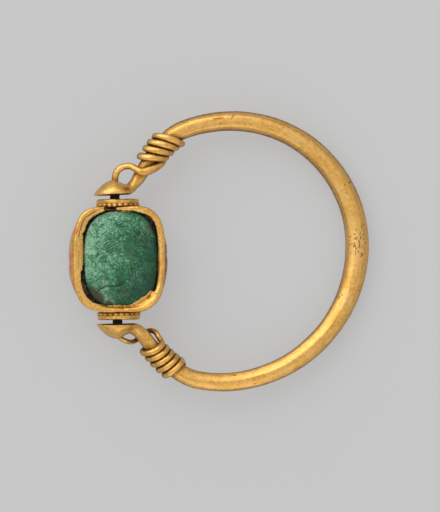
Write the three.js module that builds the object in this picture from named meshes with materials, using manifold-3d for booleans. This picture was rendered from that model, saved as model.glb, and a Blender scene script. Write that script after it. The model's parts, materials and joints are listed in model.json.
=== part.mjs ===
// A gold swivel ring with a green scarab stone, lying flat as on a table.
// Millimetres, +Z up, X from the bezel to the far side of the hoop, Y along the pin.
// The origin is at the middle of the footprint, on the table.

import * as THREE from 'three';
import { mergeVertices } from 'three/addons/utils/BufferGeometryUtils.js';
import Module from 'manifold-3d';

// Hoop: a rod bent nearly round, thickest opposite the bezel
const HOOP_REACH = 24.2; // pin axis to the rod's middle on the far side
const HOOP_MID_RADIUS = 13.1;
const HOOP_SHIFT = 0.55; // the hoop's middle lies this far above the bezel's
const hoopOvalShare = 0.0193; // how far the hoop is pulled out of round
const HOOP_OVAL_TURN = THREE.MathUtils.degToRad(41);
const UPPER_END_ANGLE = THREE.MathUtils.degToRad(108); // where the round part gives way to the shanks
const LOWER_END_ANGLE = THREE.MathUtils.degToRad(103);
const ROD_RADIUS = 1.215; // at its thickest
const ROD_END_RADIUS = 0.935; // where the shanks begin
const ROD_SIDES = 20;
const HOOP_STATIONS = 44;

// Feet: the ends of the rod beaten into pierced domes
const FOOT_RADIUS = 2.08;
const FOOT_EDGE = 0.14;
const FOOT_DOME = 1.42;
const UPPER_NECK_RADIUS = 0.65;
const LOWER_NECK_RADIUS = 0.72;
const FOOT_STATIONS = 7;
const SHANK_STATIONS = 14;

// Binding wires
const UPPER_WIRE_RADIUS = 0.27;
const upperRootShare = 0.25; // from the foot to the first turn the wire is thicker by this
const LOWER_WIRE_RADIUS = 0.24;
const lowerRootShare = 0.08;
const UPPER_TURN_PITCH = 0.76;
const LOWER_TURN_PITCH = 0.73;
const WIRE_CLEARANCE = 0.025;
const TURNS = 5;
const STEPS_PER_TURN = 24;
const WIRE_SIDES = 6;
const LEAD_STEPS = 3; // between two points of the wire's way to the first turn
const TAIL_STEPS = 5;

// Pin and the bores it runs in
const PIN_RADIUS = 0.5;
const BORE_CLEARANCE = 0.04;
const PIN_SEAT = 0.57; // depth of the pin in each foot
const PIN_SIDES = 24;

// Stone: blank flat face in front, beetle's back behind
const STONE_HALF_WIDTH = 3.66;
const STONE_HALF_LENGTH = 4.75;
const STONE_SQUARENESS = 2.75;
const STONE_FACE_HEIGHT = 2.25; // in front of the pin axis
const STONE_MARGIN_DROP = 0.26;
const STONE_BACK_DEPTH = 3.2; // behind the pin axis
const STONE_PLINTH_DEPTH = 0.95;
const faceFlatShare = 0.66;
const STONE_SIDE_SHIFT = 0.08; // the stone lies a little off the middle of its mouth
const STONE_END_SHIFT = 0.02;

// Bezel wall, rim, foil and bedding
const BEZEL_TURN = THREE.MathUtils.degToRad(7.7);
const BEZEL_OFFSET = 0.15; // the setting's middle lies this far beside the pin axis
const MOUTH_SIDE_GAP = 0.39; // between the stone and the rim, which the foil covers
const MOUTH_END_GAP = 0.28;
const RIM_SIDE_WIDTH = 0.56;
const RIM_END_WIDTH = 0.36;
const RIM_HEIGHT = 0.38;
const RIM_SQUARENESS = 3.5;
const RIM_SIDE_SHIFT = -0.12; // the rim lies a little off the wall's middle, away from the finger
const RIM_END_SHIFT = 0.1; // and towards the upper collar
const RIM_TURN = THREE.MathUtils.degToRad(-1.6); // and is turned a little in its own plane
const WALL_BULGE = 0.32; // the wall stands out past the rim at the sides
const WALL_END_DRAW = 0.17; // and falls back behind it at the ends
const WALL_THICKNESS = 0.28;
const WALL_BACK_DRAW = 0.17;
const WALL_WIDEST_HEIGHT = 0.2;
const WALL_BACK_DEPTH = 0.95;
const WALL_SQUARENESS = 2.6;
const FOIL_THICKNESS = 0.1;
const FOIL_REACH = 0.3; // from the rim inwards, where the foil is whole
const FOIL_SLOPE = 0.4; // width over which it comes down from the rim to the stone
const FIT_GAP = 0.03; // between pieces that are pressed or bedded together
const OUTLINE_STEPS = 52;
const FOIL_STEPS = 92;

// Collars
const COLLAR_RADIUS = 2.12;
const COLLAR_THICKNESS = 0.36;
const COLLAR_GAP = 0.41; // from the collar to the foot
const UPPER_COLLAR_OFFSET = 0.28; // each collar sits a little to one side of the pin
const LOWER_COLLAR_OFFSET = 0.15;
const BEAD_RADIUS = 0.18;
const BEAD_RING_RADIUS = 1.86;
const BEAD_COUNT = 22;
const beadNeckShare = 0.62;

const CUT_OVERRUN = 1;

// Sizes that follow from those above
const RIM_HALF_WIDTH = STONE_HALF_WIDTH + MOUTH_SIDE_GAP + RIM_SIDE_WIDTH;
const RIM_HALF_LENGTH = STONE_HALF_LENGTH + MOUTH_END_GAP + RIM_END_WIDTH;
const WALL_HALF_WIDTH = RIM_HALF_WIDTH + WALL_BULGE;
const WALL_HALF_LENGTH = RIM_HALF_LENGTH - WALL_END_DRAW;
const RIM_UNDER = BEAD_RING_RADIUS + BEAD_RADIUS + 2 * FIT_GAP;
const BEAD_MIDDLE = WALL_HALF_LENGTH + FIT_GAP + BEAD_RADIUS;
const COLLAR_INNER = BEAD_MIDDLE + BEAD_RADIUS + FIT_GAP;
const FOOT_BASE = COLLAR_INNER + COLLAR_THICKNESS + COLLAR_GAP;
const BORE_RADIUS = PIN_RADIUS + BORE_CLEARANCE;
const PIN_HALF_LENGTH = FOOT_BASE + PIN_SEAT;
const HOOP_MIDDLE = new THREE.Vector2(HOOP_REACH - HOOP_MID_RADIUS, HOOP_SHIFT);

// Materials
const gold = new THREE.MeshStandardMaterial({ color: 0xd9a441, roughness: 0.42, metalness: 1 });
const foil = new THREE.MeshStandardMaterial({ color: 0xe0b25a, roughness: 0.45, metalness: 1 });
const bronze = new THREE.MeshStandardMaterial({ color: 0x2b2420, roughness: 0.6, metalness: 0.6 });
const greenStone = new THREE.MeshStandardMaterial({ color: 0x3f8a68, roughness: 0.45, metalness: 0 });
const mastic = new THREE.MeshStandardMaterial({ color: 0x1c1712, roughness: 0.9, metalness: 0 });

const wasm = await Module();
wasm.setup();

const lerp = THREE.MathUtils.lerp;

// A closed skin over rings of points. Each ring goes once round, and the rings follow each other along the
// piece, which either ends in a fan at each end or runs back into itself.
function skin(rings, { loop = false } = {}) {
  const around = rings[0].length;
  const points = rings.flat();
  const index = [];
  const last = loop ? rings.length : rings.length - 1;
  for (let i = 0; i < last; i += 1) {
    const next = (i + 1) % rings.length;
    for (let j = 0; j < around; j += 1) {
      const k = (j + 1) % around;
      const [a, b, c, d] = [i * around + j, i * around + k, next * around + k, next * around + j];
      index.push(a, b, c, a, c, d);
    }
  }
  if (!loop) {
    [0, rings.length - 1].forEach((ring, end) => {
      const middle = new THREE.Vector3();
      rings[ring].forEach((p) => middle.addScaledVector(p, 1 / around));
      points.push(middle);
      for (let j = 0; j < around; j += 1) {
        const edge = [ring * around + j, ring * around + ((j + 1) % around)];
        index.push(points.length - 1, ...(end === 0 ? edge.reverse() : edge));
      }
    });
  }
  const geometry = new THREE.BufferGeometry().setFromPoints(points);
  geometry.setIndex(signedVolume(points, index) < 0 ? index.reverse() : index);
  return geometry;
}

function signedVolume(points, index) {
  let sum = 0;
  for (let i = 0; i < index.length; i += 3) {
    const [a, b, c] = [points[index[i]], points[index[i + 1]], points[index[i + 2]]];
    sum += a.dot(b.clone().cross(c));
  }
  return sum;
}

function toSolid(geometry) {
  const bare = geometry.clone();
  bare.deleteAttribute('normal');
  bare.deleteAttribute('uv');
  const welded = mergeVertices(bare, FIT_GAP / 1000);
  return new wasm.Manifold(new wasm.Mesh({
    numProp: 3,
    vertProperties: new Float32Array(welded.attributes.position.array),
    triVerts: new Uint32Array(welded.index.array),
  }));
}

function toGeometry(solid) {
  const mesh = solid.getMesh();
  const geometry = new THREE.BufferGeometry();
  geometry.setAttribute('position', new THREE.BufferAttribute(new Float32Array(mesh.vertProperties), 3));
  geometry.setIndex(new THREE.BufferAttribute(new Uint32Array(mesh.triVerts), 1));
  return geometry;
}

// The pin's bore, along Y through the origin, between two distances
function drill(geometry, from, to) {
  const bit = new THREE.CylinderGeometry(BORE_RADIUS, BORE_RADIUS, to - from, PIN_SIDES);
  bit.translate(0, (from + to) / 2, 0);
  return toGeometry(toSolid(geometry).subtract(toSolid(bit)));
}

// Superellipse with the given half width and half length, round the setting's middle
function outlineRing(halfWidth, halfLength, height, squareness, steps = OUTLINE_STEPS) {
  return Array.from({ length: steps }, (_, i) => {
    const angle = (2 * Math.PI * i) / steps;
    const [c, s] = [Math.cos(angle), Math.sin(angle)];
    const x = halfWidth * Math.sign(c) * Math.abs(c) ** (2 / squareness);
    const y = halfLength * Math.sign(s) * Math.abs(s) ** (2 / squareness);
    return new THREE.Vector3(BEZEL_OFFSET + x, y, height);
  });
}

function moveRing(ring, x, y) {
  ring.forEach((p) => p.set(p.x + x, p.y + y, p.z));
  return ring;
}

// Hoop and feet

// Rod radius at an angle from the far side
function rodRadius(angle) {
  const share = angle > 0 ? angle / UPPER_END_ANGLE : -angle / LOWER_END_ANGLE;
  return lerp(ROD_RADIUS, ROD_END_RADIUS, share);
}

// Middle of the rod at an angle from the far side, anticlockwise
function hoopPoint(angle) {
  const radius = HOOP_MID_RADIUS * (1 + hoopOvalShare * Math.cos(2 * (angle - HOOP_OVAL_TURN)));
  return new THREE.Vector2(Math.cos(angle), Math.sin(angle)).multiplyScalar(radius).add(HOOP_MIDDLE);
}

// A ring of points across the rod, from its finger side to its outer side. The seat share says how much of
// the thickness lies on the finger side of the widest line: a half on the round rod, little on the flat feet.
function rodRing(inner, outer, halfWidth, seatShare) {
  const span = outer.clone().sub(inner);
  return Array.from({ length: ROD_SIDES }, (_, i) => {
    const angle = (2 * Math.PI * i) / ROD_SIDES;
    const c = Math.cos(angle);
    const along = seatShare + c * (c > 0 ? 1 - seatShare : seatShare);
    const p = inner.clone().addScaledVector(span, along);
    return new THREE.Vector3(p.x, p.y, halfWidth * Math.sin(angle));
  });
}

// The neck between foot and shank: finger side x, y, outer side x, y, half width and seat, all but the last
// as shares of the foot's radius, x from the pin axis and y from the foot's flat base
const upperNeckShares = [
  [0.0, 0.0, 0.0, 0.74, 1.0, 0.1],
  [0.27, 0.0, 0.22, 0.66, 0.97, 0.11],
  [0.5, 0.0, 0.41, 0.575, 0.86, 0.14],
  [0.72, 0.015, 0.55, 0.54, 0.68, 0.2],
  [0.93, 0.12, 0.685, 0.64, 0.5, 0.3],
  [1.12, 0.315, 0.8, 0.795, 0.385, 0.4],
];
const lowerNeckShares = [
  [0.0, 0.0, 0.0, 0.74, 1.0, 0.1],
  [0.27, 0.0, 0.2, 0.64, 0.97, 0.11],
  [0.52, 0.0, 0.4, 0.54, 0.87, 0.14],
  [0.76, 0.0, 0.56, 0.5, 0.7, 0.2],
  [1.0, 0.04, 0.7, 0.57, 0.54, 0.3],
  [1.27, 0.19, 0.825, 0.68, 0.42, 0.4],
];
// Each end of the rod. Places are given with y away from the bezel, which the side then signs.
const ends = {
  upper: {
    side: 1,
    endAngle: UPPER_END_ANGLE,
    neckShares: upperNeckShares,
    neckMiddleShares: [1.123, 0.745],
    neckLean: THREE.MathUtils.degToRad(58),
    neckRadius: UPPER_NECK_RADIUS,
    wireRadius: UPPER_WIRE_RADIUS,
    rootShare: upperRootShare,
  },
  lower: {
    side: -1,
    endAngle: LOWER_END_ANGLE,
    neckShares: lowerNeckShares,
    neckMiddleShares: [1.226, 0.618],
    neckLean: THREE.MathUtils.degToRad(56),
    neckRadius: LOWER_NECK_RADIUS,
    wireRadius: LOWER_WIRE_RADIUS,
    rootShare: lowerRootShare,
  },
};
const shankHandleShares = [0.3, 0.32]; // of the straight way from neck to hoop
const ARRIVAL_STEP = THREE.MathUtils.degToRad(2); // the shank joins the hoop along its last two degrees
const footSeatShare = 0.1;
const footTipShare = 0.05; // of the quarter turn over which the foot swells

// The shank's middle line, from the neck to the round part of the hoop
function shankCurve(end) {
  const start = new THREE.Vector2(...end.neckMiddleShares).multiplyScalar(FOOT_RADIUS);
  start.y = (start.y + FOOT_BASE) * end.side;
  const finish = hoopPoint(end.side * end.endAngle);
  const before = hoopPoint(end.side * (end.endAngle - ARRIVAL_STEP));
  const way = start.distanceTo(finish);
  const lean = new THREE.Vector2(Math.cos(end.neckLean), end.side * Math.sin(end.neckLean));
  const arrival = finish.clone().sub(before).normalize();
  return new THREE.CubicBezierCurve(
    start,
    start.clone().addScaledVector(lean, way * shankHandleShares[0]),
    finish.clone().addScaledVector(arrival, way * shankHandleShares[1]),
    finish,
  );
}

function shankRadius(end, share) {
  return lerp(end.neckRadius, ROD_END_RADIUS, Math.sin((Math.PI / 2) * share));
}

// Unit vector from the finger side to the outer side, square to a direction along the rod
function outward(direction, side) {
  return new THREE.Vector2(-direction.y, direction.x).multiplyScalar(side);
}

// Rings from the tip of a foot to the round part of the hoop
function endRings(end) {
  const rings = [];
  const place = (x, y) => new THREE.Vector2(x, end.side * (FOOT_BASE + y));
  for (let i = 0; i < FOOT_STATIONS; i += 1) {
    const angle = (Math.PI / 2) * lerp(footTipShare, 1, i / FOOT_STATIONS);
    const x = -FOOT_RADIUS * Math.cos(angle);
    const height = FOOT_EDGE + FOOT_DOME * Math.sin(angle) ** 2;
    rings.push(rodRing(place(x, 0), place(x, height), FOOT_RADIUS * Math.sin(angle), footSeatShare));
  }
  end.neckShares.forEach(([ax, ay, bx, by, width, seat]) => {
    const [a, b] = [place(ax * FOOT_RADIUS, ay * FOOT_RADIUS), place(bx * FOOT_RADIUS, by * FOOT_RADIUS)];
    rings.push(rodRing(a, b, width * FOOT_RADIUS, seat));
  });
  const curve = shankCurve(end);
  for (let i = 0; i < SHANK_STATIONS; i += 1) {
    const share = i / SHANK_STATIONS;
    const middle = curve.getPointAt(share);
    const out = outward(curve.getTangentAt(share), end.side).multiplyScalar(shankRadius(end, share));
    rings.push(rodRing(middle.clone().sub(out), middle.clone().add(out), out.length(), 0.5));
  }
  return rings;
}

function hoopGeometry() {
  const round = Array.from({ length: HOOP_STATIONS + 1 }, (_, i) => {
    const angle = lerp(UPPER_END_ANGLE, -LOWER_END_ANGLE, i / HOOP_STATIONS);
    const middle = hoopPoint(angle);
    const out = new THREE.Vector2(Math.cos(angle), Math.sin(angle)).multiplyScalar(rodRadius(angle));
    return rodRing(middle.clone().sub(out), middle.clone().add(out), out.length(), 0.5);
  });
  const rings = [...endRings(ends.upper), ...round, ...endRings(ends.lower).reverse()];
  const reach = FOOT_BASE + FOOT_EDGE + FOOT_DOME + CUT_OVERRUN;
  const pierced = drill(skin(rings), FOOT_BASE - CUT_OVERRUN, reach);
  return drill(pierced, -reach, CUT_OVERRUN - FOOT_BASE);
}

// Binding wires

// Middle, direction and radius of the rod at a distance from the neck, along the shank and on round the hoop
function rodPlace(end, curve, distance) {
  const length = curve.getLength();
  if (distance <= length) {
    const share = distance / length;
    return [curve.getPointAt(share), curve.getTangentAt(share), shankRadius(end, share)];
  }
  const angle = end.endAngle - (distance - length) / HOOP_MID_RADIUS;
  const middle = hoopPoint(end.side * angle);
  const direction = hoopPoint(end.side * (angle - ARRIVAL_STEP)).sub(middle).normalize();
  return [middle, direction, rodRadius(end.side * angle)];
}

// Round tube of one unbroken wire through the points, its section carried along without twist
function tube(points, radii) {
  const tangents = points.map((p, i) => {
    const [a, b] = [points[Math.max(i - 1, 0)], points[Math.min(i + 1, points.length - 1)]];
    return b.clone().sub(a).normalize();
  });
  const up = new THREE.Vector3(0, 0, 1).cross(tangents[0]).normalize();
  const rings = points.map((p, i) => {
    up.addScaledVector(tangents[i], -up.dot(tangents[i])).normalize();
    const across = tangents[i].clone().cross(up);
    return Array.from({ length: WIRE_SIDES }, (_, j) => {
      const angle = (2 * Math.PI * j) / WIRE_SIDES;
      return p.clone().addScaledVector(up, radii[i] * Math.cos(angle))
        .addScaledVector(across, radii[i] * Math.sin(angle));
    });
  });
  return skin(rings);
}

// Least distance between stretches of a wire that lie more than half a turn apart
function leastGap(points, radius) {
  const apart = Math.round(STEPS_PER_TURN / 2);
  let least = Infinity;
  for (let i = 0; i < points.length; i += 1) {
    for (let j = i + apart; j < points.length; j += 1) {
      least = Math.min(least, points[i].distanceTo(points[j]));
    }
  }
  return least - 2 * radius;
}

// The wire's way out of the foot's hole to where it starts to wind: x and y as shares of the foot's radius,
// from the pin axis and the foot's base, and height as a share of the turns' radius
const upperLeadShares = [
  [0.02, 0.31, 0],
  [0.02, 0.55, 0],
  [0.03, 0.74, 0],
  [0.05, 0.96, 0.04],
  [0.19, 1.21, 0.12],
  [0.47, 1.37, 0.3],
  [0.775, 1.37, 0.6],
  [1.04, 1.22, 0.9],
];
const lowerLeadShares = [
  [0.0, 0.31, 0],
  [-0.01, 0.46, 0],
  [0.04, 0.6, -0.05],
  [0.22, 0.76, -0.2],
  [0.52, 0.89, -0.55],
  [0.83, 0.87, -0.98],
  [1.1, 0.68, -1.12],
  [1.36, 0.48, -1.02],
  [1.6, 0.38, -0.74],
  [1.82, 0.45, -0.4],
  [1.95, 0.65, -0.13],
];
Object.assign(ends.upper, {
  leadShares: upperLeadShares,
  turnSense: 1,
  firstTurn: 1.27, // along the shank from the neck
  firstPitch: 1.6,
  pitch: UPPER_TURN_PITCH,
  firstClimb: 0.75, // the wire runs this far ahead where it first passes the finger side
  sideLean: 0.37, // the first turn lags by this at the outer side of the shank and leads at the finger side
  lastSideLean: 0.62,
  frontLean: -0.4, // at the front the first turn leads by this
  lastFrontLean: 0,
  startAngle: Math.PI / 2,
  finishAngle: TURNS * 2 * Math.PI - 0.95 * Math.PI,
  tail: [],
});
Object.assign(ends.lower, {
  leadShares: lowerLeadShares,
  turnSense: -1,
  firstTurn: 1.47,
  firstPitch: LOWER_TURN_PITCH,
  pitch: LOWER_TURN_PITCH,
  firstClimb: 0,
  sideLean: 0.36,
  lastSideLean: 0.36,
  frontLean: 0.42,
  lastFrontLean: 0.2,
  startAngle: 0,
  finishAngle: TURNS * 2 * Math.PI - 0.4 * Math.PI,
  // turns on from the last, and angle round the shank in turns, of the cut end along the hoop
  tail: [[0.25, -0.37], [0.5, -0.4], [0.85, -0.41]],
});

// Radius of a wire at an angle of its winding: over the first turn it thins from its root
function wireRadiusAt(end, angle) {
  const share = Math.min((angle - end.startAngle) / (2 * Math.PI), 1);
  return end.wireRadius * lerp(1 + end.rootShare, 1, share);
}

// Middle line of a wire, and its radius at each point
function wireRun(end) {
  const curve = shankCurve(end);
  const wrap = end.neckRadius + end.wireRadius + WIRE_CLEARANCE;
  const lead = end.leadShares.map(([x, y, z]) => (
    new THREE.Vector3(x * FOOT_RADIUS, end.side * (FOOT_BASE + y * FOOT_RADIUS), z * wrap)
  ));
  // on the rod at a distance from the neck, at an angle from its outer side towards the front
  const beside = (distance, angle, wireRadius) => {
    const [middle, direction, radius] = rodPlace(end, curve, distance);
    const out = radius + wireRadius + WIRE_CLEARANCE;
    const place = outward(direction, end.side).multiplyScalar(out * Math.cos(angle)).add(middle);
    return new THREE.Vector3(place.x, place.y, out * Math.sin(angle));
  };
  const turnPlace = (angle) => {
    const turn = (angle - Math.PI / 2) / (2 * Math.PI);
    return end.firstTurn + Math.min(turn, 1) * end.firstPitch + Math.max(turn - 1, 0) * end.pitch;
  };
  const step = (2 * Math.PI) / STEPS_PER_TURN;
  const steps = Math.round((end.finishAngle - end.startAngle) / step);
  const angles = Array.from({ length: steps + 1 }, (_, i) => end.startAngle + i * step);
  const turns = angles.map((angle) => {
    const round = end.turnSense > 0 ? angle : Math.PI - angle;
    const progress = Math.min(Math.max((angle - Math.PI / 2) / (2 * Math.PI * (TURNS - 1)), 0), 1);
    const front = lerp(end.frontLean, end.lastFrontLean, progress);
    const side = lerp(end.sideLean, end.lastSideLean, progress);
    const lean = front * Math.sin(round) - side * Math.cos(round);
    const pastSide = Math.min(Math.max(angle - Math.PI, -Math.PI / 2), Math.PI / 2);
    const climb = end.firstClimb * Math.cos(pastSide) ** 2;
    return beside(turnPlace(angle) + lean + climb, round, wireRadiusAt(end, angle));
  });
  const last = turnPlace(end.finishAngle);
  const tail = end.tail.map(([on, round]) => (
    beside(last + on * end.pitch, round * 2 * Math.PI, end.wireRadius)
  ));
  const smooth = (points, count) => (
    new THREE.CatmullRomCurve3(points, false, 'centripetal').getSpacedPoints(count)
  );
  const run = smooth([...lead, turns[0]], lead.length * LEAD_STEPS).slice(0, -1);
  const finish = tail.length ? smooth([turns.at(-1), ...tail], TAIL_STEPS).slice(1) : [];
  return {
    points: [...run, ...turns, ...finish],
    radii: [
      ...run.map(() => wireRadiusAt(end, end.startAngle)),
      ...angles.map((angle) => wireRadiusAt(end, angle)),
      ...finish.map(() => end.wireRadius),
    ],
  };
}

// Stone, bedding, wall and foil of the bezel, with z along the sealing face's normal from the pin axis

// The stone's outline at a share of its size and a height
function stoneRing(share, height) {
  const ring = outlineRing(STONE_HALF_WIDTH * share, STONE_HALF_LENGTH * share, height, STONE_SQUARENESS);
  return moveRing(ring, STONE_SIDE_SHIFT, STONE_END_SHIFT);
}

// Front margin, plinth and domed back: share of the outline, and share of the drop or of the depth
const marginShares = [[0.84, 0.22], [0.94, 0.55], [0.985, 0.8], [1, 1]];
const backShares = [[1, 0.7], [0.975, 1], [0.9, 1.05]];
const domeShares = [
  [0.9, 0.06], [0.93, 0.16], [0.89, 0.38], [0.78, 0.62], [0.61, 0.81], [0.4, 0.93], [0.2, 0.98],
];

function stoneGeometry() {
  const rings = [stoneRing(faceFlatShare, STONE_FACE_HEIGHT)];
  marginShares.forEach(([share, drop]) => {
    rings.push(stoneRing(share, STONE_FACE_HEIGHT - drop * STONE_MARGIN_DROP));
  });
  backShares.forEach(([share, depth]) => rings.push(stoneRing(share, -depth * STONE_PLINTH_DEPTH)));
  domeShares.forEach(([share, depth]) => {
    rings.push(stoneRing(share, -lerp(STONE_PLINTH_DEPTH, STONE_BACK_DEPTH, depth)));
  });
  return drill(skin(rings), -STONE_HALF_LENGTH - CUT_OVERRUN, STONE_HALF_LENGTH + CUT_OVERRUN);
}

// Half width, half length, height and squareness of the wall, at a share of its way from the back edge to
// the rim and a distance in from its outer face
function wallStation(share, inset) {
  const widestShare = (WALL_WIDEST_HEIGHT + WALL_BACK_DEPTH) / (RIM_UNDER + WALL_BACK_DEPTH);
  const above = Math.max((share - widestShare) / (1 - widestShare), 0);
  const below = Math.max((widestShare - share) / widestShare, 0);
  const draw = WALL_BULGE * above ** 2 + WALL_BACK_DRAW * below ** 2;
  return [
    WALL_HALF_WIDTH - draw - inset,
    WALL_HALF_LENGTH - WALL_BACK_DRAW * below ** 2 - inset,
    lerp(-WALL_BACK_DEPTH, RIM_UNDER, share),
    WALL_SQUARENESS,
  ];
}

// The rim's outline, turned a little and off the wall's middle
function rimRing(halfWidth, halfLength, height, steps) {
  const ring = outlineRing(halfWidth, halfLength, height, RIM_SQUARENESS, steps);
  moveRing(ring, -BEZEL_OFFSET, 0);
  ring.forEach((p) => p.applyAxisAngle(new THREE.Vector3(0, 0, 1), RIM_TURN));
  return moveRing(ring, BEZEL_OFFSET + RIM_SIDE_SHIFT, RIM_END_SHIFT);
}

const wallShares = [0, 0.2, 0.4, 0.6, 0.8, 0.94];
const innerWallShares = [0.86, 0.6, 0.35, 0.08];
// The rim's section: share of its width from the stone's side, and share of its height
const rimShares = [[1, 0.02], [1, 0.35], [0.88, 0.8], [0.5, 1], [0.12, 0.8], [0, 0.3], [0.04, -0.1]];

function wallGeometry() {
  const outer = wallShares.map((share) => outlineRing(...wallStation(share, 0)));
  const rim = rimShares.map(([across, up]) => rimRing(
    RIM_HALF_WIDTH - RIM_SIDE_WIDTH * (1 - across),
    RIM_HALF_LENGTH - RIM_END_WIDTH * (1 - across),
    RIM_UNDER + RIM_HEIGHT * up,
  ));
  const inner = innerWallShares.map((share) => outlineRing(...wallStation(share, WALL_THICKNESS)));
  const solid = skin([...outer, ...rim, ...inner], { loop: true });
  return drill(solid, -WALL_HALF_LENGTH - CUT_OVERRUN, WALL_HALF_LENGTH + CUT_OVERRUN);
}

const beddingShares = [0.84, 0.6, 0.35, 0.1];

function beddingGeometry() {
  const stations = beddingShares.map((share) => wallStation(share, WALL_THICKNESS + FIT_GAP));
  const [top, bottom] = [stations[0][2], stations.at(-1)[2]];
  const outer = stations.map((station) => outlineRing(...station));
  const side = [bottom, top].map((height) => moveRing(outlineRing(
    STONE_HALF_WIDTH + FIT_GAP,
    STONE_HALF_LENGTH + FIT_GAP,
    height,
    STONE_SQUARENESS,
  ), STONE_SIDE_SHIFT, STONE_END_SHIFT));
  const solid = skin([...outer, ...side], { loop: true });
  return drill(solid, -WALL_HALF_LENGTH - CUT_OVERRUN, WALL_HALF_LENGTH + CUT_OVERRUN);
}

// Torn inner edge of the foil: angle round the mouth in degrees, and share of the reach
const foilTearShares = [
  [0, 0.5], [35, 0.4], [55, 0.3], [65, 0.8], [75, 1], [86, 1.05], [88.5, 0.2], [97, 0.2], [101, 0.5],
  [118, 0.7], [132, 0.4], [142, 0.7], [153, 1.2], [193, 1.3], [197, 0.2], [240, 0.2], [246, 0.7],
  [265, 0.8], [278, 0.8], [286, 1.3], [299, 2.8], [314, 2], [318, 1], [322, 0.5], [360, 0.5],
];

function foilReach(degrees) {
  const i = foilTearShares.findIndex(([at]) => at > degrees);
  const [a, b] = [foilTearShares[i - 1], foilTearShares[i]];
  return FOIL_REACH * lerp(a[1], b[1], (degrees - a[0]) / (b[0] - a[0]));
}

// Height of the stone's face at a share of its outline
function faceHeight(share) {
  const rows = [[faceFlatShare, 0], ...marginShares];
  const i = Math.max(rows.findIndex(([at]) => at >= share), 1);
  const [a, b] = [rows[i - 1], rows[i]];
  return STONE_FACE_HEIGHT - STONE_MARGIN_DROP * lerp(a[1], b[1], (share - a[0]) / (b[0] - a[0]));
}

// Across the foil from the rim inwards, and up its thickness
const foilSectionShares = [[0, 0], [0, 1], [0.5, 1], [1, 1], [1, 0], [0.5, 0]];

function foilGeometry() {
  const middle = new THREE.Vector3(BEZEL_OFFSET + RIM_SIDE_SHIFT, RIM_END_SHIFT, 0);
  const halfWidth = RIM_HALF_WIDTH - RIM_SIDE_WIDTH - FIT_GAP;
  const halfLength = RIM_HALF_LENGTH - RIM_END_WIDTH - FIT_GAP;
  const rings = rimRing(halfWidth, halfLength, 0, FOIL_STEPS).map((edge) => {
    const spoke = edge.clone().sub(middle);
    const turn = THREE.MathUtils.radToDeg(Math.atan2(spoke.y, spoke.x));
    const reach = foilReach((turn + 360) % 360) / spoke.length();
    return foilSectionShares.map(([across, up]) => {
      const place = spoke.clone().multiplyScalar(1 - reach * across).add(middle);
      const x = Math.abs((place.x - BEZEL_OFFSET - STONE_SIDE_SHIFT) / STONE_HALF_WIDTH);
      const y = Math.abs((place.y - STONE_END_SHIFT) / STONE_HALF_LENGTH);
      const share = (x ** STONE_SQUARENESS + y ** STONE_SQUARENESS) ** (1 / STONE_SQUARENESS);
      const bed = faceHeight(Math.min(Math.max(share, faceFlatShare), 1)) + 2 * FIT_GAP;
      const beyond = Math.max(share - 1, 0) * (STONE_HALF_WIDTH / FOIL_SLOPE);
      return place.setZ(lerp(bed, RIM_UNDER, Math.min(beyond, 1)) + FOIL_THICKNESS * up);
    });
  });
  return skin(rings, { loop: true });
}

// Collars: a flat disc and a ring of beaded wire at each end of the bezel

function collarOffset(side) {
  return side > 0 ? UPPER_COLLAR_OFFSET : LOWER_COLLAR_OFFSET;
}

function collarGeometry(side) {
  const disc = new THREE.CylinderGeometry(COLLAR_RADIUS, COLLAR_RADIUS, COLLAR_THICKNESS, PIN_SIDES * 2);
  disc.translate(collarOffset(side), side * (COLLAR_INNER + COLLAR_THICKNESS / 2), 0);
  const [from, to] = [COLLAR_INNER - CUT_OVERRUN, COLLAR_INNER + COLLAR_THICKNESS + CUT_OVERRUN];
  return side > 0 ? drill(disc, from, to) : drill(disc, -to, -from);
}

function beadedRingGeometry(side) {
  const rings = Array.from({ length: BEAD_COUNT * 2 }, (_, i) => {
    const around = (Math.PI * i) / BEAD_COUNT;
    const radius = BEAD_RADIUS * (i % 2 ? beadNeckShare : 1);
    return Array.from({ length: WIRE_SIDES }, (_, j) => {
      const angle = (2 * Math.PI * j) / WIRE_SIDES;
      const out = BEAD_RING_RADIUS + radius * Math.cos(angle);
      const y = side * BEAD_MIDDLE + radius * Math.sin(angle);
      return new THREE.Vector3(collarOffset(side) + out * Math.cos(around), y, out * Math.sin(around));
    });
  });
  return skin(rings, { loop: true });
}

// Assembly: the hoop's group and the bezel's group share the pin axis

const stone = stoneGeometry();
const turned = stone.clone().rotateY(BEZEL_TURN);
turned.computeBoundingBox();
const PIN_HEIGHT = -turned.boundingBox.min.z; // the beetle's back touches the table
const HOOP_LEAN = Math.asin((PIN_HEIGHT - ROD_RADIUS) / HOOP_REACH); // and so does the far side of the hoop
const LEFT = BEZEL_OFFSET - WALL_HALF_WIDTH;
const PIN_X = -(HOOP_REACH + ROD_RADIUS + LEFT) / 2;

const pin = new THREE.CylinderGeometry(PIN_RADIUS, PIN_RADIUS, 2 * PIN_HALF_LENGTH, PIN_SIDES);

const ring = new THREE.Group();
ring.position.set(0, -HOOP_SHIFT, 0);
const hoopGroup = new THREE.Group();
hoopGroup.position.set(PIN_X, 0, PIN_HEIGHT);
hoopGroup.rotation.y = HOOP_LEAN;
const bezelGroup = new THREE.Group();
bezelGroup.position.copy(hoopGroup.position);
bezelGroup.rotation.y = BEZEL_TURN;
ring.add(hoopGroup, bezelGroup);

function add(group, name, geometry, material) {
  const mesh = new THREE.Mesh(geometry, material);
  mesh.name = name;
  group.add(mesh);
}

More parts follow.
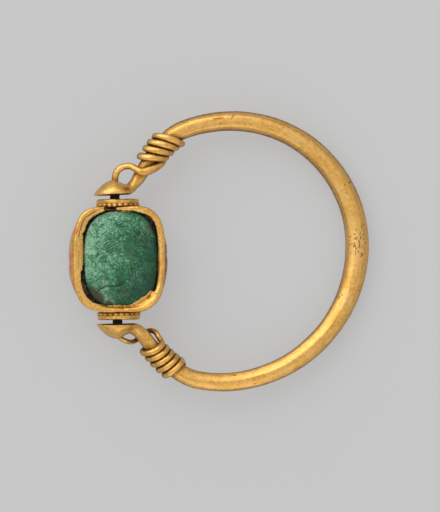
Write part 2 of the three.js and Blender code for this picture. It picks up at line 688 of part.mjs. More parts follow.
add(hoopGroup, 'hoop', hoopGeometry(), gold);
add(hoopGroup, 'swivel_pin', pin, bronze);
for (const [name, end] of Object.entries(ends)) {
  const { points, radii } = wireRun(end);
  add(hoopGroup, `${name}_binding_wire`, tube(points, radii), gold);
  const gap = leastGap(points, end.wireRadius).toFixed(2);
  console.log(`${name}_binding_wire: least gap to itself ${gap} mm`);
  add(bezelGroup, `${name}_collar_disc`, collarGeometry(end.side), gold);
  add(bezelGroup, `${name}_beaded_ring`, beadedRingGeometry(end.side), gold);
}
add(bezelGroup, 'bezel_frame', wallGeometry(), gold);
add(bezelGroup, 'foil_lip', foilGeometry(), foil);
add(bezelGroup, 'scarab_stone', stone, greenStone);
add(bezelGroup, 'mastic_bedding', beddingGeometry(), mastic);

export default ring;
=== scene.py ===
"""A gold swivel ring with a green scarab stone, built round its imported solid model.

Lengths are in metres, and a name that ends in share or shares holds shares of the size that it follows. The
hoop and the bezel are both worked out round the swivel pin, with X towards the far side of the hoop, Y along
the pin and Z out of the ring's plane. Each is then turned about the pin and set down where the solid model
has it.
"""

import json
import math
from functools import partial
from types import SimpleNamespace

import bpy
import numpy as np
from bpy.props import FloatProperty, FloatVectorProperty, IntProperty, PointerProperty
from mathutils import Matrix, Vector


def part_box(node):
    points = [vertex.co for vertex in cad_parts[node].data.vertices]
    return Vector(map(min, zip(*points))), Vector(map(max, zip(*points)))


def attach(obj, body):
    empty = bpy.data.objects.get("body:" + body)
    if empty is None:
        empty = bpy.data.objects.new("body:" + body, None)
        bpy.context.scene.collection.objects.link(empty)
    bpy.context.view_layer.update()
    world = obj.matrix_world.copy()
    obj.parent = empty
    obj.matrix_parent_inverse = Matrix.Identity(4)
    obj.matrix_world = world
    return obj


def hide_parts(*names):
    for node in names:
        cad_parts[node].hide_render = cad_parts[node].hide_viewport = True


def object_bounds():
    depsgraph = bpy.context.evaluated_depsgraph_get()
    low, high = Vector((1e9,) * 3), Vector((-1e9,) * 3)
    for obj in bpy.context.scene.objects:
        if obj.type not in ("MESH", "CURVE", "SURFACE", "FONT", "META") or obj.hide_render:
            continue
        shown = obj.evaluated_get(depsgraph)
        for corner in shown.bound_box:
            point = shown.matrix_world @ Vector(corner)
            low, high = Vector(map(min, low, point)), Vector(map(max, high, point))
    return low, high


bl_info = {
    "name": "Scarab Swivel Ring",
    "version": (1, 0, 0),
    "blender": (4, 5, 0),
    "location": "View3D > Sidebar > Swivel Ring",
    "description": "Gold swivel ring with a green scarab stone, built round its packed solid model",
    "category": "Add Mesh",
}

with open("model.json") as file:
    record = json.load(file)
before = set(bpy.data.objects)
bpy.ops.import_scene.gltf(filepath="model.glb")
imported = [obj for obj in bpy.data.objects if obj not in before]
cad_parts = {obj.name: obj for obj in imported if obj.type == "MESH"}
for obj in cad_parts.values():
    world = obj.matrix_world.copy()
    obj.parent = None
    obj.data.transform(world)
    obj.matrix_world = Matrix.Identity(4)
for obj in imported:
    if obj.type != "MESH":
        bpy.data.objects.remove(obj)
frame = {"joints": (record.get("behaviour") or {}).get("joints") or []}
CAD_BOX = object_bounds()
MM = 0.001
TINY = 1e-9  # keeps a division from zero
PIN = np.array(frame["joints"][0]["pos_m"], float)
SWIVEL_PIN_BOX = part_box("swivel_pin")
PIN_RADIUS = (SWIVEL_PIN_BOX[1].x - SWIVEL_PIN_BOX[0].x) / 2
PIN_HALF_LENGTH = (SWIVEL_PIN_BOX[1].y - SWIVEL_PIN_BOX[0].y) / 2


# Sizes and colours that a user would change

def length(name, description, millimetres):
    """A length property whose default is given in millimetres."""
    return FloatProperty(name=name, description=description, default=millimetres * MM, unit="LENGTH")


def angle(name, description, degrees):
    """An angle property whose default is given in degrees."""
    return FloatProperty(name=name, description=description, default=math.radians(degrees), subtype="ANGLE")


def share(name, description, value):
    """A plain number property."""
    return FloatProperty(name=name, description=description, default=value)


def power(name, description, watts):
    """A property for a lamp's power."""
    return FloatProperty(name=name, description=description, default=watts, unit="POWER")


def linear(hex_colour):
    """Linear red, green and blue of an sRGB hex colour: straight near black, above it a power of 2.4."""
    value = np.array([int(hex_colour[i:i + 2], 16) for i in (1, 3, 5)]) / 255
    return tuple(np.where(value <= 0.04045, value / 12.92, ((value + 0.055) / 1.055) ** 2.4))


def colour(name, description, hex_colour):
    """A colour property whose default is an sRGB hex value."""
    return FloatVectorProperty(
        name=name, description=description, default=linear(hex_colour), subtype="COLOR", size=3, min=0, max=1
    )


class RingHoopSizes(bpy.types.PropertyGroup):
    """The hoop, its shanks and its feet."""

    reach: length("Reach", "From the pin's axis to the rod's middle on the far side", 24.2)
    mid_radius: length("Middle radius", "Radius of the rod's middle line", 13.1)
    shift: length("Shift", "How far the hoop's middle lies above the bezel's", 0.55)
    oval_share: share("Oval share", "How far the hoop is pulled out of round", 0.0193)
    oval_turn: angle("Oval turn", "Direction of the pull", 41)
    upper_end: angle("Upper end", "Where the round part gives way to the upper shank", 108)
    lower_end: angle("Lower end", "Where the round part gives way to the lower shank", 103)
    rod_radius: length("Rod radius", "Radius of the rod at its thickest", 1.215)
    rod_end_radius: length("Rod end radius", "Radius of the rod where the shanks begin", 0.935)
    upper_neck: length("Upper neck radius", "Radius of the upper shank at the foot", 0.65)
    lower_neck: length("Lower neck radius", "Radius of the lower shank at the foot", 0.72)
    foot_radius: length("Foot radius", "Radius of the domed feet", 2.08)
    foot_edge: length("Foot edge", "Thickness of a foot at its rim", 0.14)
    foot_dome: length("Foot dome", "Rise of a foot above its rim", 1.42)
    pin_seat: length("Pin seat", "Depth of the pin in each foot", 0.57)
    bore_clearance: length("Bore clearance", "Between the pin and its bore", 0.04)
    unevenness: length("Unevenness", "Depth of the hammer's soft dents", 0.012)


class RingWireSizes(bpy.types.PropertyGroup):
    """The two binding wires."""

    upper_radius: length("Upper wire radius", "Radius of the upper wire", 0.27)
    lower_radius: length("Lower wire radius", "Radius of the lower wire", 0.24)
    upper_root_share: share("Upper root share", "How much thicker the upper wire is at the foot", 0.25)
    lower_root_share: share("Lower root share", "How much thicker the lower wire is at the foot", 0.08)
    upper_pitch: length("Upper pitch", "From one upper turn to the next", 0.76)
    lower_pitch: length("Lower pitch", "From one lower turn to the next", 0.73)
    clearance: length("Clearance", "Between wire and shank", 0.025)
    turns: IntProperty(name="Turns", description="Turns of each wire", default=5, min=1)
    flattening: share("Flattening", "How much wider the wire is along the shank than it is thick", 0.28)
    unevenness: length("Unevenness", "How far the wire wanders and thins", 0.012)


class RingBezelSizes(bpy.types.PropertyGroup):
    """The stone, the gold wall round it and the foil over its margin."""

    turn: angle("Turn", "How far the bezel has swung about its pin", 7.7)
    offset: length("Offset", "How far the setting's middle lies beside the pin", 0.15)
    stone_half_width: length("Stone half width", "Half the stone's width", 3.66)
    stone_half_length: length("Stone half length", "Half the stone's length", 4.75)
    stone_squareness: share("Stone squareness", "Power of the stone's outline", 2.75)
    face_height: length("Face height", "From the pin's axis to the sealing face", 2.25)
    margin_drop: length("Margin drop", "How far the face falls to its edge", 0.26)
    back_depth: length("Back depth", "From the pin's axis to the beetle's back", 3.2)
    plinth_depth: length("Plinth depth", "From the pin's axis to the beetle's feet", 0.95)
    stone_side_shift: length("Stone side shift", "How far the stone lies off its setting's middle", 0.08)
    stone_end_shift: length("Stone end shift", "How far the stone lies off its setting's middle", 0.02)
    mouth_side_gap: length("Mouth side gap", "From the stone to the rim at the sides", 0.39)
    mouth_end_gap: length("Mouth end gap", "From the stone to the rim at the ends", 0.28)
    rim_side_width: length("Rim side width", "Width of the rim at the sides", 0.56)
    rim_end_width: length("Rim end width", "Width of the rim at the ends", 0.36)
    rim_height: length("Rim height", "Height of the rim", 0.38)
    rim_squareness: share("Rim squareness", "Power of the rim's outline", 3.5)
    rim_side_shift: length("Rim side shift", "How far the rim lies off the wall's middle", -0.12)
    rim_end_shift: length("Rim end shift", "How far the rim lies off the wall's middle", 0.1)
    rim_turn: angle("Rim turn", "How far the rim is turned in its own plane", -1.6)
    wall_bulge: length("Wall bulge", "How far the wall stands out past the rim at the sides", 0.32)
    wall_end_draw: length("Wall end draw", "How far the wall falls back behind the rim at the ends", 0.17)
    wall_thickness: length("Wall thickness", "Thickness of the gold wall", 0.28)
    wall_back_draw: length("Wall back draw", "How far the wall closes in towards the back", 0.17)
    wall_widest_height: length("Widest height", "Where the wall is widest, above the pin's axis", 0.2)
    wall_back_depth: length("Wall back depth", "From the pin's axis to the wall's back edge", 0.95)
    wall_squareness: share("Wall squareness", "Power of the wall's outline", 2.6)
    fit_gap: length("Fit gap", "Between pieces that are pressed or bedded together", 0.03)
    foil_thickness: length("Foil thickness", "Thickness of the foil", 0.06)
    foil_reach: length("Foil reach", "How far whole foil comes in from the rim", 0.3)


class RingCollarSizes(bpy.types.PropertyGroup):
    """The collar discs and the beaded wires at the bezel's ends."""

    radius: length("Collar radius", "Radius of the collar discs", 2.12)
    thickness: length("Collar thickness", "Thickness of the collar discs", 0.36)
    upper_offset: length("Upper offset", "How far the upper collar lies beside the pin", 0.28)
    lower_offset: length("Lower offset", "How far the lower collar lies beside the pin", 0.15)
    bead_radius: length("Bead radius", "Radius of the beads", 0.18)
    ring_radius: length("Bead ring radius", "Radius of the ring of beads", 1.86)
    beads: IntProperty(name="Beads", description="Beads in each ring", default=22, min=3)
    neck_share: share("Bead neck share", "Thickness between two beads, as a share of a bead", 0.4)


class RingColours(bpy.types.PropertyGroup):
    """Colours of the gold, the stone and the rest."""

    # Pale gold is where the tone runs high: partly its own, partly a painted highlight where ambient
    # occlusion finds the gold standing proud, and a painted glint at the worn place
    gold_pale: colour("Pale gold", "Rubbed gold", "#F2C378")
    gold_warm: colour("Warm gold", "Gold between rubbed and deep", "#DEA954")
    # Deep gold is where the tone runs low: partly its own, partly painted shade in the hollows from ambient
    # occlusion
    gold_deep: colour("Deep gold", "Gold in the hollows", "#B07A34")
    # Pits are filled with this brown as dirt; in crevices it is laid by ambient occlusion, as dirt and
    # painted shade
    grime_and_shade: colour("Grime", "Burial dirt in the crevices", "#5E3014")
    # This brown film is painted shade on the rod's and wires' sides, in the rim's notch, in the foil's folds
    # and between the beads, the dark line where the wall meets the rim, and the dark of the nicks
    soil_and_shade: colour("Soil film", "Brown film on the flanks", "#5A3410")
    red_earth: colour("Red earth", "Red residue on the wall", "#C44A26")
    tarnish: colour("Tarnish", "Purplish film on the wall", "#6E4048")
    bronze: colour("Bronze", "The corroded pin", "#1D1815")
    stone_pale: colour("Pale stone", "Specks and scratches of the stone", "#AACBAF")
    stone_light: colour("Light stone", "Clouds of the stone", "#78A988")
    stone_green: colour("Green stone", "Body of the stone", "#3F7A56")
    stone_deep: colour("Deep stone", "Deep green between the clouds", "#225B3A")
    stone_dark: colour("Dark stone", "Dark patches of the stone", "#143E28")
    stone_olive: colour("Olive stone", "Brownish green patches", "#5F6A48")
    stone_teal: colour("Teal stone", "Blue-green patches", "#2A6156")
    stone_dirt: colour("Stone dirt", "Brown dirt at the stone's edge", "#3E3622")
    mastic: colour("Mastic", "Dark resin bedding", "#15100C")
    floor: colour("Floor", "The pale ground under the ring", "#C6C6C6")


class RingStageSizes(bpy.types.PropertyGroup):
    """Camera, lights and floor."""

    picture_height: length("Picture height", "Height of the view at the ring", 51.2)
    middle_x: length("Middle X", "Where the view's middle lies", 0.07)
    middle_y: length("Middle Y", "Where the view's middle lies", -0.43)
    roll: angle("Roll", "The ring's turn in the view", 1.25)
    distance: length("Camera distance", "Height of the camera above the ring", 700)
    floor_half: length("Floor half width", "Half the width of the floor", 3000)
    key_size: length("Key size", "Width of the large soft lamp", 900)
    key_power: power("Key power", "Power of the large soft lamp", 3.5)
    fill_size: length("Fill size", "Width of the weak lamp opposite", 500)
    fill_power: power("Fill power", "Power of the weak lamp opposite", 0.5)
    sky_top: share("Sky top", "Strength of the light from the sky", 0.78)
    sky_edge: share("Sky edge", "Strength of the light from the horizon", 0.2)
    floor_glow_share: share("Floor glow share", "Part of the floor's paleness that no shadow dims", 0.65)


GROUPS = {
    "ring_hoop": RingHoopSizes,
    "ring_wires": RingWireSizes,
    "ring_bezel": RingBezelSizes,
    "ring_collars": RingCollarSizes,
    "ring_colours": RingColours,
    "ring_stage": RingStageSizes,
}


# Curves and surfaces as arrays

def mix(a, b, t):
    """From a to b as t goes from 0 to 1."""
    return a + (b - a) * t


def step_up(value, low, high):
    """0 below low, 1 above high, and between them the smooth cubic 3t^2 - 2t^3."""
    t = np.clip((value - low) / (high - low), 0, 1)
    return t * t * (3 - 2 * t)


def step_down(value, low, high):
    """1 below low, 0 above high, and between them the same cubic."""
    return 1 - step_up(value, low, high)


def groove(distance, width):
    """A soft groove or ridge: a bell curve of the distance over the width."""
    return np.exp(-((distance / width) ** 2))


def off_stroke(points, start, end):
    """How far flat points lie off a straight stroke in both directions, from the nearest place on it."""
    way = end - start
    share_along = np.clip((points - start) @ way / (way @ way), 0, 1)
    return points - start - share_along[..., None] * way


def distances(points):
    """Distance along a line of points, from its first."""
    return np.concatenate([[0], np.cumsum(np.linalg.norm(np.diff(points, axis=0), axis=1))])


def run_through(rows, at, way):
    """Rows of numbers at new distances along a run of given rows. Between two rows each number follows the
    cubic that has their values and, at each, the slope between its neighbours."""
    slopes = np.gradient(rows, way, axis=0)
    i = np.clip(np.searchsorted(way, at, side="right") - 1, 0, len(way) - 2)
    gap = (way[i + 1] - way[i])[:, None]
    t = (at[:, None] - way[i][:, None]) / gap
    a, b, ga, gb = rows[i], rows[i + 1], slopes[i] * gap, slopes[i + 1] * gap
    return (
        (2 * t ** 3 - 3 * t ** 2 + 1) * a + (t ** 3 - 2 * t ** 2 + t) * ga
        + (3 * t ** 2 - 2 * t ** 3) * b + (t ** 3 - t ** 2) * gb
    )


def even_run(rows, count, place=slice(None)):
    """As run_through, at evenly spaced distances measured in the given columns."""
    way = distances(rows[:, place])
    return run_through(rows, np.linspace(0, way[-1], count), way)


RIPPLE_WAVES = 28
RIPPLE_SPREAD = (0.7, 1.4)  # how much longer or shorter the waves are than one length


def ripples(points, wavelength, seed):
    """Smooth unevenness, mostly between -1 and 1: sine waves of about one length in random directions, added
    up and divided by the root of their number."""
    draw = np.random.default_rng(seed)
    direction = draw.normal(size=(RIPPLE_WAVES, 3))
    direction /= np.linalg.norm(direction, axis=1, keepdims=True)
    direction *= draw.uniform(*RIPPLE_SPREAD, (RIPPLE_WAVES, 1)) * 2 * np.pi / wavelength
    phase = draw.uniform(0, 2 * np.pi, RIPPLE_WAVES)
    return np.sin(points @ direction.T + phase).sum(axis=-1) / math.sqrt(RIPPLE_WAVES)


def unevenness(points, layers):
    """Ripples of several sizes added up. Each layer is a height, a wavelength and a seed."""
    return sum(height * ripples(points, wavelength, seed) for height, wavelength, seed in layers)


def outline(around, half_width, half_length, squareness):
    """Superellipse by polar angle: its radius is where (|x| / half width)^n + (|y| / half length)^n is 1."""
    c, s = np.cos(around), np.sin(around)
    total = np.abs(c / half_width) ** squareness + np.abs(s / half_length) ** squareness
    radius = total ** (-1 / squareness)
    return radius * c, radius * s


def full_turn(count):
    """Angles of evenly spaced points once round."""
    return np.linspace(0, 2 * np.pi, count, endpoint=False)


def facing(rings):
    """Unit normals of a surface that closes both ways, from the cross product of its two directions."""
    along, around = (np.roll(rings, -1, axis) - np.roll(rings, 1, axis) for axis in (0, 1))
    normal = np.cross(around, along)
    area = np.linalg.norm(normal, axis=-1, keepdims=True)
    return normal / np.maximum(area, TINY ** 2)


def straightened(radius, sides, way):
    """Where the points of a tube would lie if it were straight, so that streaks can run along it."""
    c, s = np.cos(full_turn(sides))[None], np.sin(full_turn(sides))[None]
    return np.stack(np.broadcast_arrays(radius * c, radius * s, way[:, None]), -1)


def set_down(points, turn):
    """Turns points about the pin and moves them to it: x' = x cos + z sin, z' = z cos - x sin."""
    x, y, z = np.moveaxis(points, -1, 0)
    c, s = math.cos(turn), math.sin(turn)
    return np.stack([x * c + z * s, y, z * c - x * s], -1) + PIN


def put_mesh(name, points, quads, triangles=(), marks=None):
    """A smooth-shaded object from corners and faces, turned so that the volume inside it is positive. Marks
    are numbers or vectors at the corners, which the material reads by name."""
    quads = np.asarray(quads, int).reshape(-1, 4)
    triangles = np.asarray(triangles, int).reshape(-1, 3)
    fan = np.vstack([quads[:, [0, 1, 2]], quads[:, [0, 2, 3]], triangles])
    a, b, c = (points[fan[:, i]] - points.mean(0) for i in range(3))
    if np.einsum("ij,ij->", a, np.cross(b, c)) < 0:
        quads, triangles = quads[:, ::-1], triangles[:, ::-1]
    mesh = bpy.data.meshes.new(name)
    mesh.from_pydata(points, [], quads.tolist() + triangles.tolist())
    for mark, values in (marks or {}).items():
        vector = values.ndim > 1
        attribute = mesh.attributes.new(mark, "FLOAT_VECTOR" if vector else "FLOAT", "POINT")
        attribute.data.foreach_set("vector" if vector else "value", values.astype(np.float32).ravel())
    mesh.shade_smooth()
    piece = bpy.data.objects.new(name, mesh)
    bpy.context.scene.collection.objects.link(piece)
    return piece


def skin(name, rings, closed=False, marks=None):
    """An object over rings of points: quads between neighbouring rings, and over each open end a fan round
    its middle."""
    along, around = rings.shape[:2]
    i = np.arange(along if closed else along - 1)[:, None]
    j = np.arange(around)[None, :]
    n, k = (i + 1) % along, (j + 1) % around
    corners = [i * around + j, i * around + k, n * around + k, n * around + j]
    quads = np.stack(np.broadcast_arrays(*corners), -1).reshape(-1, 4)
    marks = marks or {}
    flat = {mark: values.reshape(along * around, *values.shape[2:]) for mark, values in marks.items()}
    points = rings.reshape(-1, 3)
    if closed:
        return put_mesh(name, points, quads, marks=flat)
    row = np.arange(around)
    beyond = np.roll(row, -1)
    start = (along - 1) * around
    first = np.stack([np.full(around, len(points)), beyond, row], -1)
    last = np.stack([np.full(around, len(points) + 1), start + row, start + beyond], -1)
    points = np.vstack([points, rings[0].mean(0), rings[-1].mean(0)])
    flat = {
        mark: np.concatenate([flat[mark], values[0].mean(0)[None], values[-1].mean(0)[None]])
        for mark, values in marks.items()
    }
    return put_mesh(name, points, quads, np.vstack([first, last]), flat)


BORE_SIDES = 72
BORE_EDGE = math.radians(50)  # edges sharper than this stay sharp


def drill(piece, turn, start, end):
    """Cuts the pin's bore out of a piece between two distances along the pin, and marks its edges sharp."""
    radius = PIN_RADIUS + bpy.context.scene.ring_hoop.bore_clearance
    x, z = radius * np.cos(full_turn(BORE_SIDES)), radius * np.sin(full_turn(BORE_SIDES))
    rings = np.array([np.stack([x, 0 * x + y, z], -1) for y in (start, end)])
    bit = skin("bore_bit", set_down(rings, turn))
    cut = piece.modifiers.new("bore", "BOOLEAN")
    cut.object = bit
    cut.operation = "DIFFERENCE"
    cut.solver = "EXACT"
    bpy.context.view_layer.update()
    cast = piece.evaluated_get(bpy.context.evaluated_depsgraph_get())
    drilled = bpy.data.meshes.new_from_object(cast)
    piece.modifiers.clear()
    whole = piece.data
    piece.data = drilled
    bpy.data.meshes.remove(whole)
    bpy.data.objects.remove(bit)
    drilled.name = piece.name
    drilled.set_sharp_from_angle(angle=BORE_EDGE)


def dress(piece, material, body, node):
    """Gives a finished piece its material, its body and the solid that it stands for."""
    piece.data.materials.clear()
    piece.data.materials.append(material)
    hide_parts(node)
    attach(piece, body)


# The rod: hoop, shanks and feet

# The neck between foot and shank: finger side x, y, outer side x, y, half width and seat, all but the last as
# shares of the foot's radius, x from the pin's axis and y from the foot's flat base
UPPER_NECK_SHARES = [
    [0.0, 0.0, 0.0, 0.74, 1.0, 0.1],
    [0.27, 0.0, 0.22, 0.66, 0.97, 0.11],
    [0.5, 0.0, 0.41, 0.575, 0.86, 0.14],
    [0.72, 0.015, 0.55, 0.54, 0.68, 0.2],
    [0.93, 0.12, 0.685, 0.64, 0.5, 0.3],
    [1.12, 0.315, 0.8, 0.795, 0.385, 0.4],
]
LOWER_NECK_SHARES = [
    [0.0, 0.0, 0.0, 0.74, 1.0, 0.1],
    [0.27, 0.0, 0.2, 0.64, 0.97, 0.11],
    [0.52, 0.0, 0.4, 0.54, 0.87, 0.14],
    [0.76, 0.0, 0.56, 0.5, 0.7, 0.2],
    [1.0, 0.04, 0.7, 0.57, 0.54, 0.3],
    [1.27, 0.19, 0.825, 0.68, 0.42, 0.4],
]
# Each wire's way out of the foot's hole to where it starts to wind: x and y as shares of the foot's radius,
# and height as a share of the turns' radius
UPPER_LEAD_SHARES = [
    [0.02, 0.31, 0], [0.02, 0.55, 0], [0.03, 0.74, 0], [0.05, 0.96, 0.04],
    [0.19, 1.21, 0.12], [0.47, 1.37, 0.3], [0.775, 1.37, 0.6], [1.04, 1.22, 0.9],
]
LOWER_LEAD_SHARES = [
    [0.0, 0.31, 0], [-0.01, 0.46, 0], [0.04, 0.6, -0.05], [0.22, 0.76, -0.2],
    [0.52, 0.89, -0.55], [0.83, 0.87, -0.98], [1.1, 0.68, -1.12], [1.36, 0.48, -1.02],
    [1.6, 0.38, -0.74], [1.82, 0.45, -0.4], [1.95, 0.65, -0.13],
]
SHANK_HANDLE_SHARES = (0.3, 0.32)  # of the straight way from neck to hoop
ARRIVAL_STEP = math.radians(2)
SHANK_LINE_STEPS = 400
SHANK_STATIONS = 28
FOOT_STATIONS = 24
FOOT_SEAT_SHARE = 0.1
FOOT_TIP_SHARE = 0.05


def rod_ends(scene):
    """What sets the two ends of the rod apart. Side is 1 above the bezel and -1 below it. The wire's leans
    are how far it leads or lags at the front and at the side of the shank, in its first turn and its last."""
    hoop, wires = scene.ring_hoop, scene.ring_wires
    upper = SimpleNamespace(
        side=1, end_angle=hoop.upper_end, neck_shares=UPPER_NECK_SHARES, middle_shares=(1.123, 0.745),
        lean=math.radians(58), neck_radius=hoop.upper_neck, wire_radius=wires.upper_radius,
        root_share=wires.upper_root_share, lead_shares=UPPER_LEAD_SHARES, sense=1,
        first_turn=1.27 * MM, first_pitch=1.6 * MM, pitch=wires.upper_pitch, first_climb=0.75 * MM,
        side_lean=0.37 * MM, last_side_lean=0.62 * MM, front_lean=-0.4 * MM, last_front_lean=0,
        start_turn=0.25, finish_turn=wires.turns - 0.475, tail=[],
    )
    lower = SimpleNamespace(
        side=-1, end_angle=hoop.lower_end, neck_shares=LOWER_NECK_SHARES, middle_shares=(1.226, 0.618),
        lean=math.radians(56), neck_radius=hoop.lower_neck, wire_radius=wires.lower_radius,
        root_share=wires.lower_root_share, lead_shares=LOWER_LEAD_SHARES, sense=-1,
        first_turn=1.47 * MM, first_pitch=wires.lower_pitch, pitch=wires.lower_pitch, first_climb=0,
        side_lean=0.36 * MM, last_side_lean=0.36 * MM, front_lean=0.42 * MM, last_front_lean=0.2 * MM,
        start_turn=0, finish_turn=wires.turns - 0.2, tail=[[0.25, -0.37], [0.5, -0.4], [0.85, -0.41]],
    )
    return {"upper": upper, "lower": lower}


def foot_base(scene):
    """Distance of a foot's flat base from the ring's middle: the pin's half length less its seat."""
    return PIN_HALF_LENGTH - scene.ring_hoop.pin_seat


def hoop_line(hoop, around):
    """Middle of the rod at an angle from the far side: a circle whose radius swells and shrinks twice in a
    turn."""
    radius = hoop.mid_radius * (1 + hoop.oval_share * np.cos(2 * (around - hoop.oval_turn)))
    middle = np.array([hoop.reach - hoop.mid_radius, hoop.shift])
    return middle + radius[:, None] * np.stack([np.cos(around), np.sin(around)], -1)


def round_rows(hoop, around):
    """Rows across the round part of the hoop: finger side, outer side, half width and seat. The rod thins
    evenly with the angle from the far side."""
    ends = np.where(around > 0, hoop.upper_end, hoop.lower_end)
    radius = mix(hoop.rod_radius, hoop.rod_end_radius, np.abs(around) / ends)[:, None]
    middle = hoop_line(hoop, around)
    out = radius * np.stack([np.cos(around), np.sin(around)], -1)
    return np.hstack([middle - out, middle + out, radius, np.full_like(radius, 0.5)])


def shank_line(scene, end):
    """Middle line of a shank, with its radius as third column: the cubic curve that leaves the neck along its
    lean and arrives along the hoop. The radius eases from neck to hoop as a sine."""
    hoop = scene.ring_hoop
    start = np.array(end.middle_shares) * hoop.foot_radius
    start[1] = (start[1] + foot_base(scene)) * end.side
    before, finish = hoop_line(hoop, end.side * np.array([end.end_angle - ARRIVAL_STEP, end.end_angle]))
    way = np.linalg.norm(finish - start)
    arrival = (finish - before) / np.linalg.norm(finish - before)
    lean = np.array([math.cos(end.lean), end.side * math.sin(end.lean)])
    leave, arrive = np.array(SHANK_HANDLE_SHARES) * way
    bends = [start, start + lean * leave, finish + arrival * arrive, finish]
    t = np.linspace(0, 1, SHANK_LINE_STEPS)[:, None]
    weights = [(1 - t) ** 3, 3 * t * (1 - t) ** 2, 3 * t * t * (1 - t), t ** 3]
    line = sum(w * p for w, p in zip(weights, bends))
    share_along = distances(line)[:, None] / distances(line)[-1]
    return np.hstack([line, mix(end.neck_radius, hoop.rod_end_radius, np.sin(np.pi / 2 * share_along))])


def sideways(line):
    """Unit vectors square to a flat line, on its left."""
    slope = np.gradient(line[:, :2], axis=0)
    slope /= np.linalg.norm(slope, axis=1, keepdims=True)
    return np.stack([-slope[:, 1], slope[:, 0]], -1)


def end_rows(scene, end):
    """Rows across one end of the rod, from the foot's tip to the round part: finger side, outer side, half
    width and seat. The foot is a disc seen edge on, domed by the square of a sine."""
    hoop, base = scene.ring_hoop, foot_base(scene)
    swell = np.pi / 2 * np.linspace(FOOT_TIP_SHARE, 1, FOOT_STATIONS, endpoint=False)
    x = -hoop.foot_radius * np.cos(swell)
    height = hoop.foot_edge + hoop.foot_dome * np.sin(swell) ** 2
    half = hoop.foot_radius * np.sin(swell)
    foot = np.stack([x, np.full_like(x, base), x, base + height, half, np.full_like(x, FOOT_SEAT_SHARE)], -1)
    neck = np.array(end.neck_shares)
    neck[:, :5] *= hoop.foot_radius
    neck[:, [1, 3]] += base
    flat = np.vstack([foot, neck])
    flat[:, [1, 3]] *= end.side
    line = even_run(shank_line(scene, end), SHANK_STATIONS, slice(0, 2))[:-1]
    out = sideways(line) * end.side * line[:, 2:]
    middle = line[:, :2]
    shank = np.hstack([middle - out, middle + out, line[:, 2:], np.full((len(line), 1), 0.5)])
    return np.vstack([flat, shank])


def rod_rings(rows, sides):
    """Rings of points across the rod. Round each ring the share of the way from finger side to outer side is
    seat + cos (1 - seat) on the outer side and seat + cos seat on the finger side, and the height a sine."""
    c, s = np.cos(full_turn(sides))[None], np.sin(full_turn(sides))[None]
    seat = rows[:, 5:6]
    along = seat + c * np.where(c > 0, 1 - seat, seat)
    x = mix(rows[:, 0:1], rows[:, 2:3], along)
    y = mix(rows[:, 1:2], rows[:, 3:4], along)
    return np.stack([x, y, rows[:, 4:5] * s], -1)


def hoop_lean(scene):
    """The hoop leans until its far side touches the table. The sine is pin height less rod radius, over
    reach."""
    return math.asin((PIN[2] - scene.ring_hoop.rod_radius) / scene.ring_hoop.reach)


ROUND_STATIONS = 90
ROD_STATIONS = 900
ROD_SIDES = 56
ROD_CROWDING = 0.6  # share by which the stations crowd towards the feet
SHORTEST_STEP = 0.01 * MM  # rows that lie closer together are one
FEET_GIVE_WAY = (1.5 * MM, 4.5 * MM)  # the foot gives way to the shank between these distances from the tip
# Layers of unevenness: height as a share of the hoop's unevenness, wavelength and seed
ROD_DENTS = [(1, 4.2 * MM, 1), (0.4, 1.3 * MM, 2)]
ROD_GRAIN = [(0.14, 0.42 * MM, 3)]
FOOT_DENTS_SHARE = 3  # the dents are this much deeper on the feet
THIN_ROD = 0.5 * MM  # wear fades where the rod is thinner than this
# Long flats that the hammer left: how many, their depth as a share of the unevenness, and how they wind
FACETS = 6
FACET_DEPTH_SHARE = 4
FACET_TURN = 0.6
FACET_TWIST = 0.3
FACET_TWIST_LENGTH = 11 * MM
# The rod's sides, which face neither front nor back, are painted brown as shade
ROD_FLANKS = (0.32, 0.7)  # sine of the height: below the first the painted shade is full, above the second it is gone
FLANK_SHADE = 1.3
FOOT_SHADE_SHARE = 0.3
# The worn and pitted place on the hoop's far side, longer than wide, whole from a height above the middle on
SCUFF_PLACE = (24.3 * MM, 1.2 * MM)
SCUFF_REACH = 1.6 * MM
SCUFF_STRETCH = 1.9
SCUFF_HEIGHT = 0.4 * MM
# Small dark nicks on the hoop's front: both ends of each, in millimetres
NICKS = [
    ((10.03, 13.8), (10.9, 13.95)), ((11.79, 13.85), (12.04, 14.2)), ((17.58, 12.99), (17.63, 12.99)),
    ((24.89, 2.46), (25.3, 2.6)), ((25.2, 2.55), (25.24, 2.1)),
]
NICK_WIDTH = 0.07 * MM


def rod_surface(scene):
    """Rings from foot to foot, and the distance of each along the rod. Evenly spaced shares t of the way are
    crowded towards the feet, as t - crowding sin(2 pi t) / (2 pi)."""
    hoop, ends = scene.ring_hoop, rod_ends(scene)
    sweep = np.linspace(hoop.upper_end, -hoop.lower_end, ROUND_STATIONS)
    upper, lower = (end_rows(scene, ends[name]) for name in ("upper", "lower"))
    rows = np.vstack([upper, round_rows(hoop, sweep), lower[::-1]])
    middles = (rows[:, :2] + rows[:, 2:4]) / 2
    keep = np.concatenate([[True], np.linalg.norm(np.diff(middles, axis=0), axis=1) > SHORTEST_STEP])
    rows, way = rows[keep], distances(middles[keep])
    t = np.linspace(0, 1, ROD_STATIONS)
    at = way[-1] * (t - ROD_CROWDING * np.sin(2 * np.pi * t) / (2 * np.pi))
    return rod_rings(run_through(rows, at, way), ROD_SIDES), at


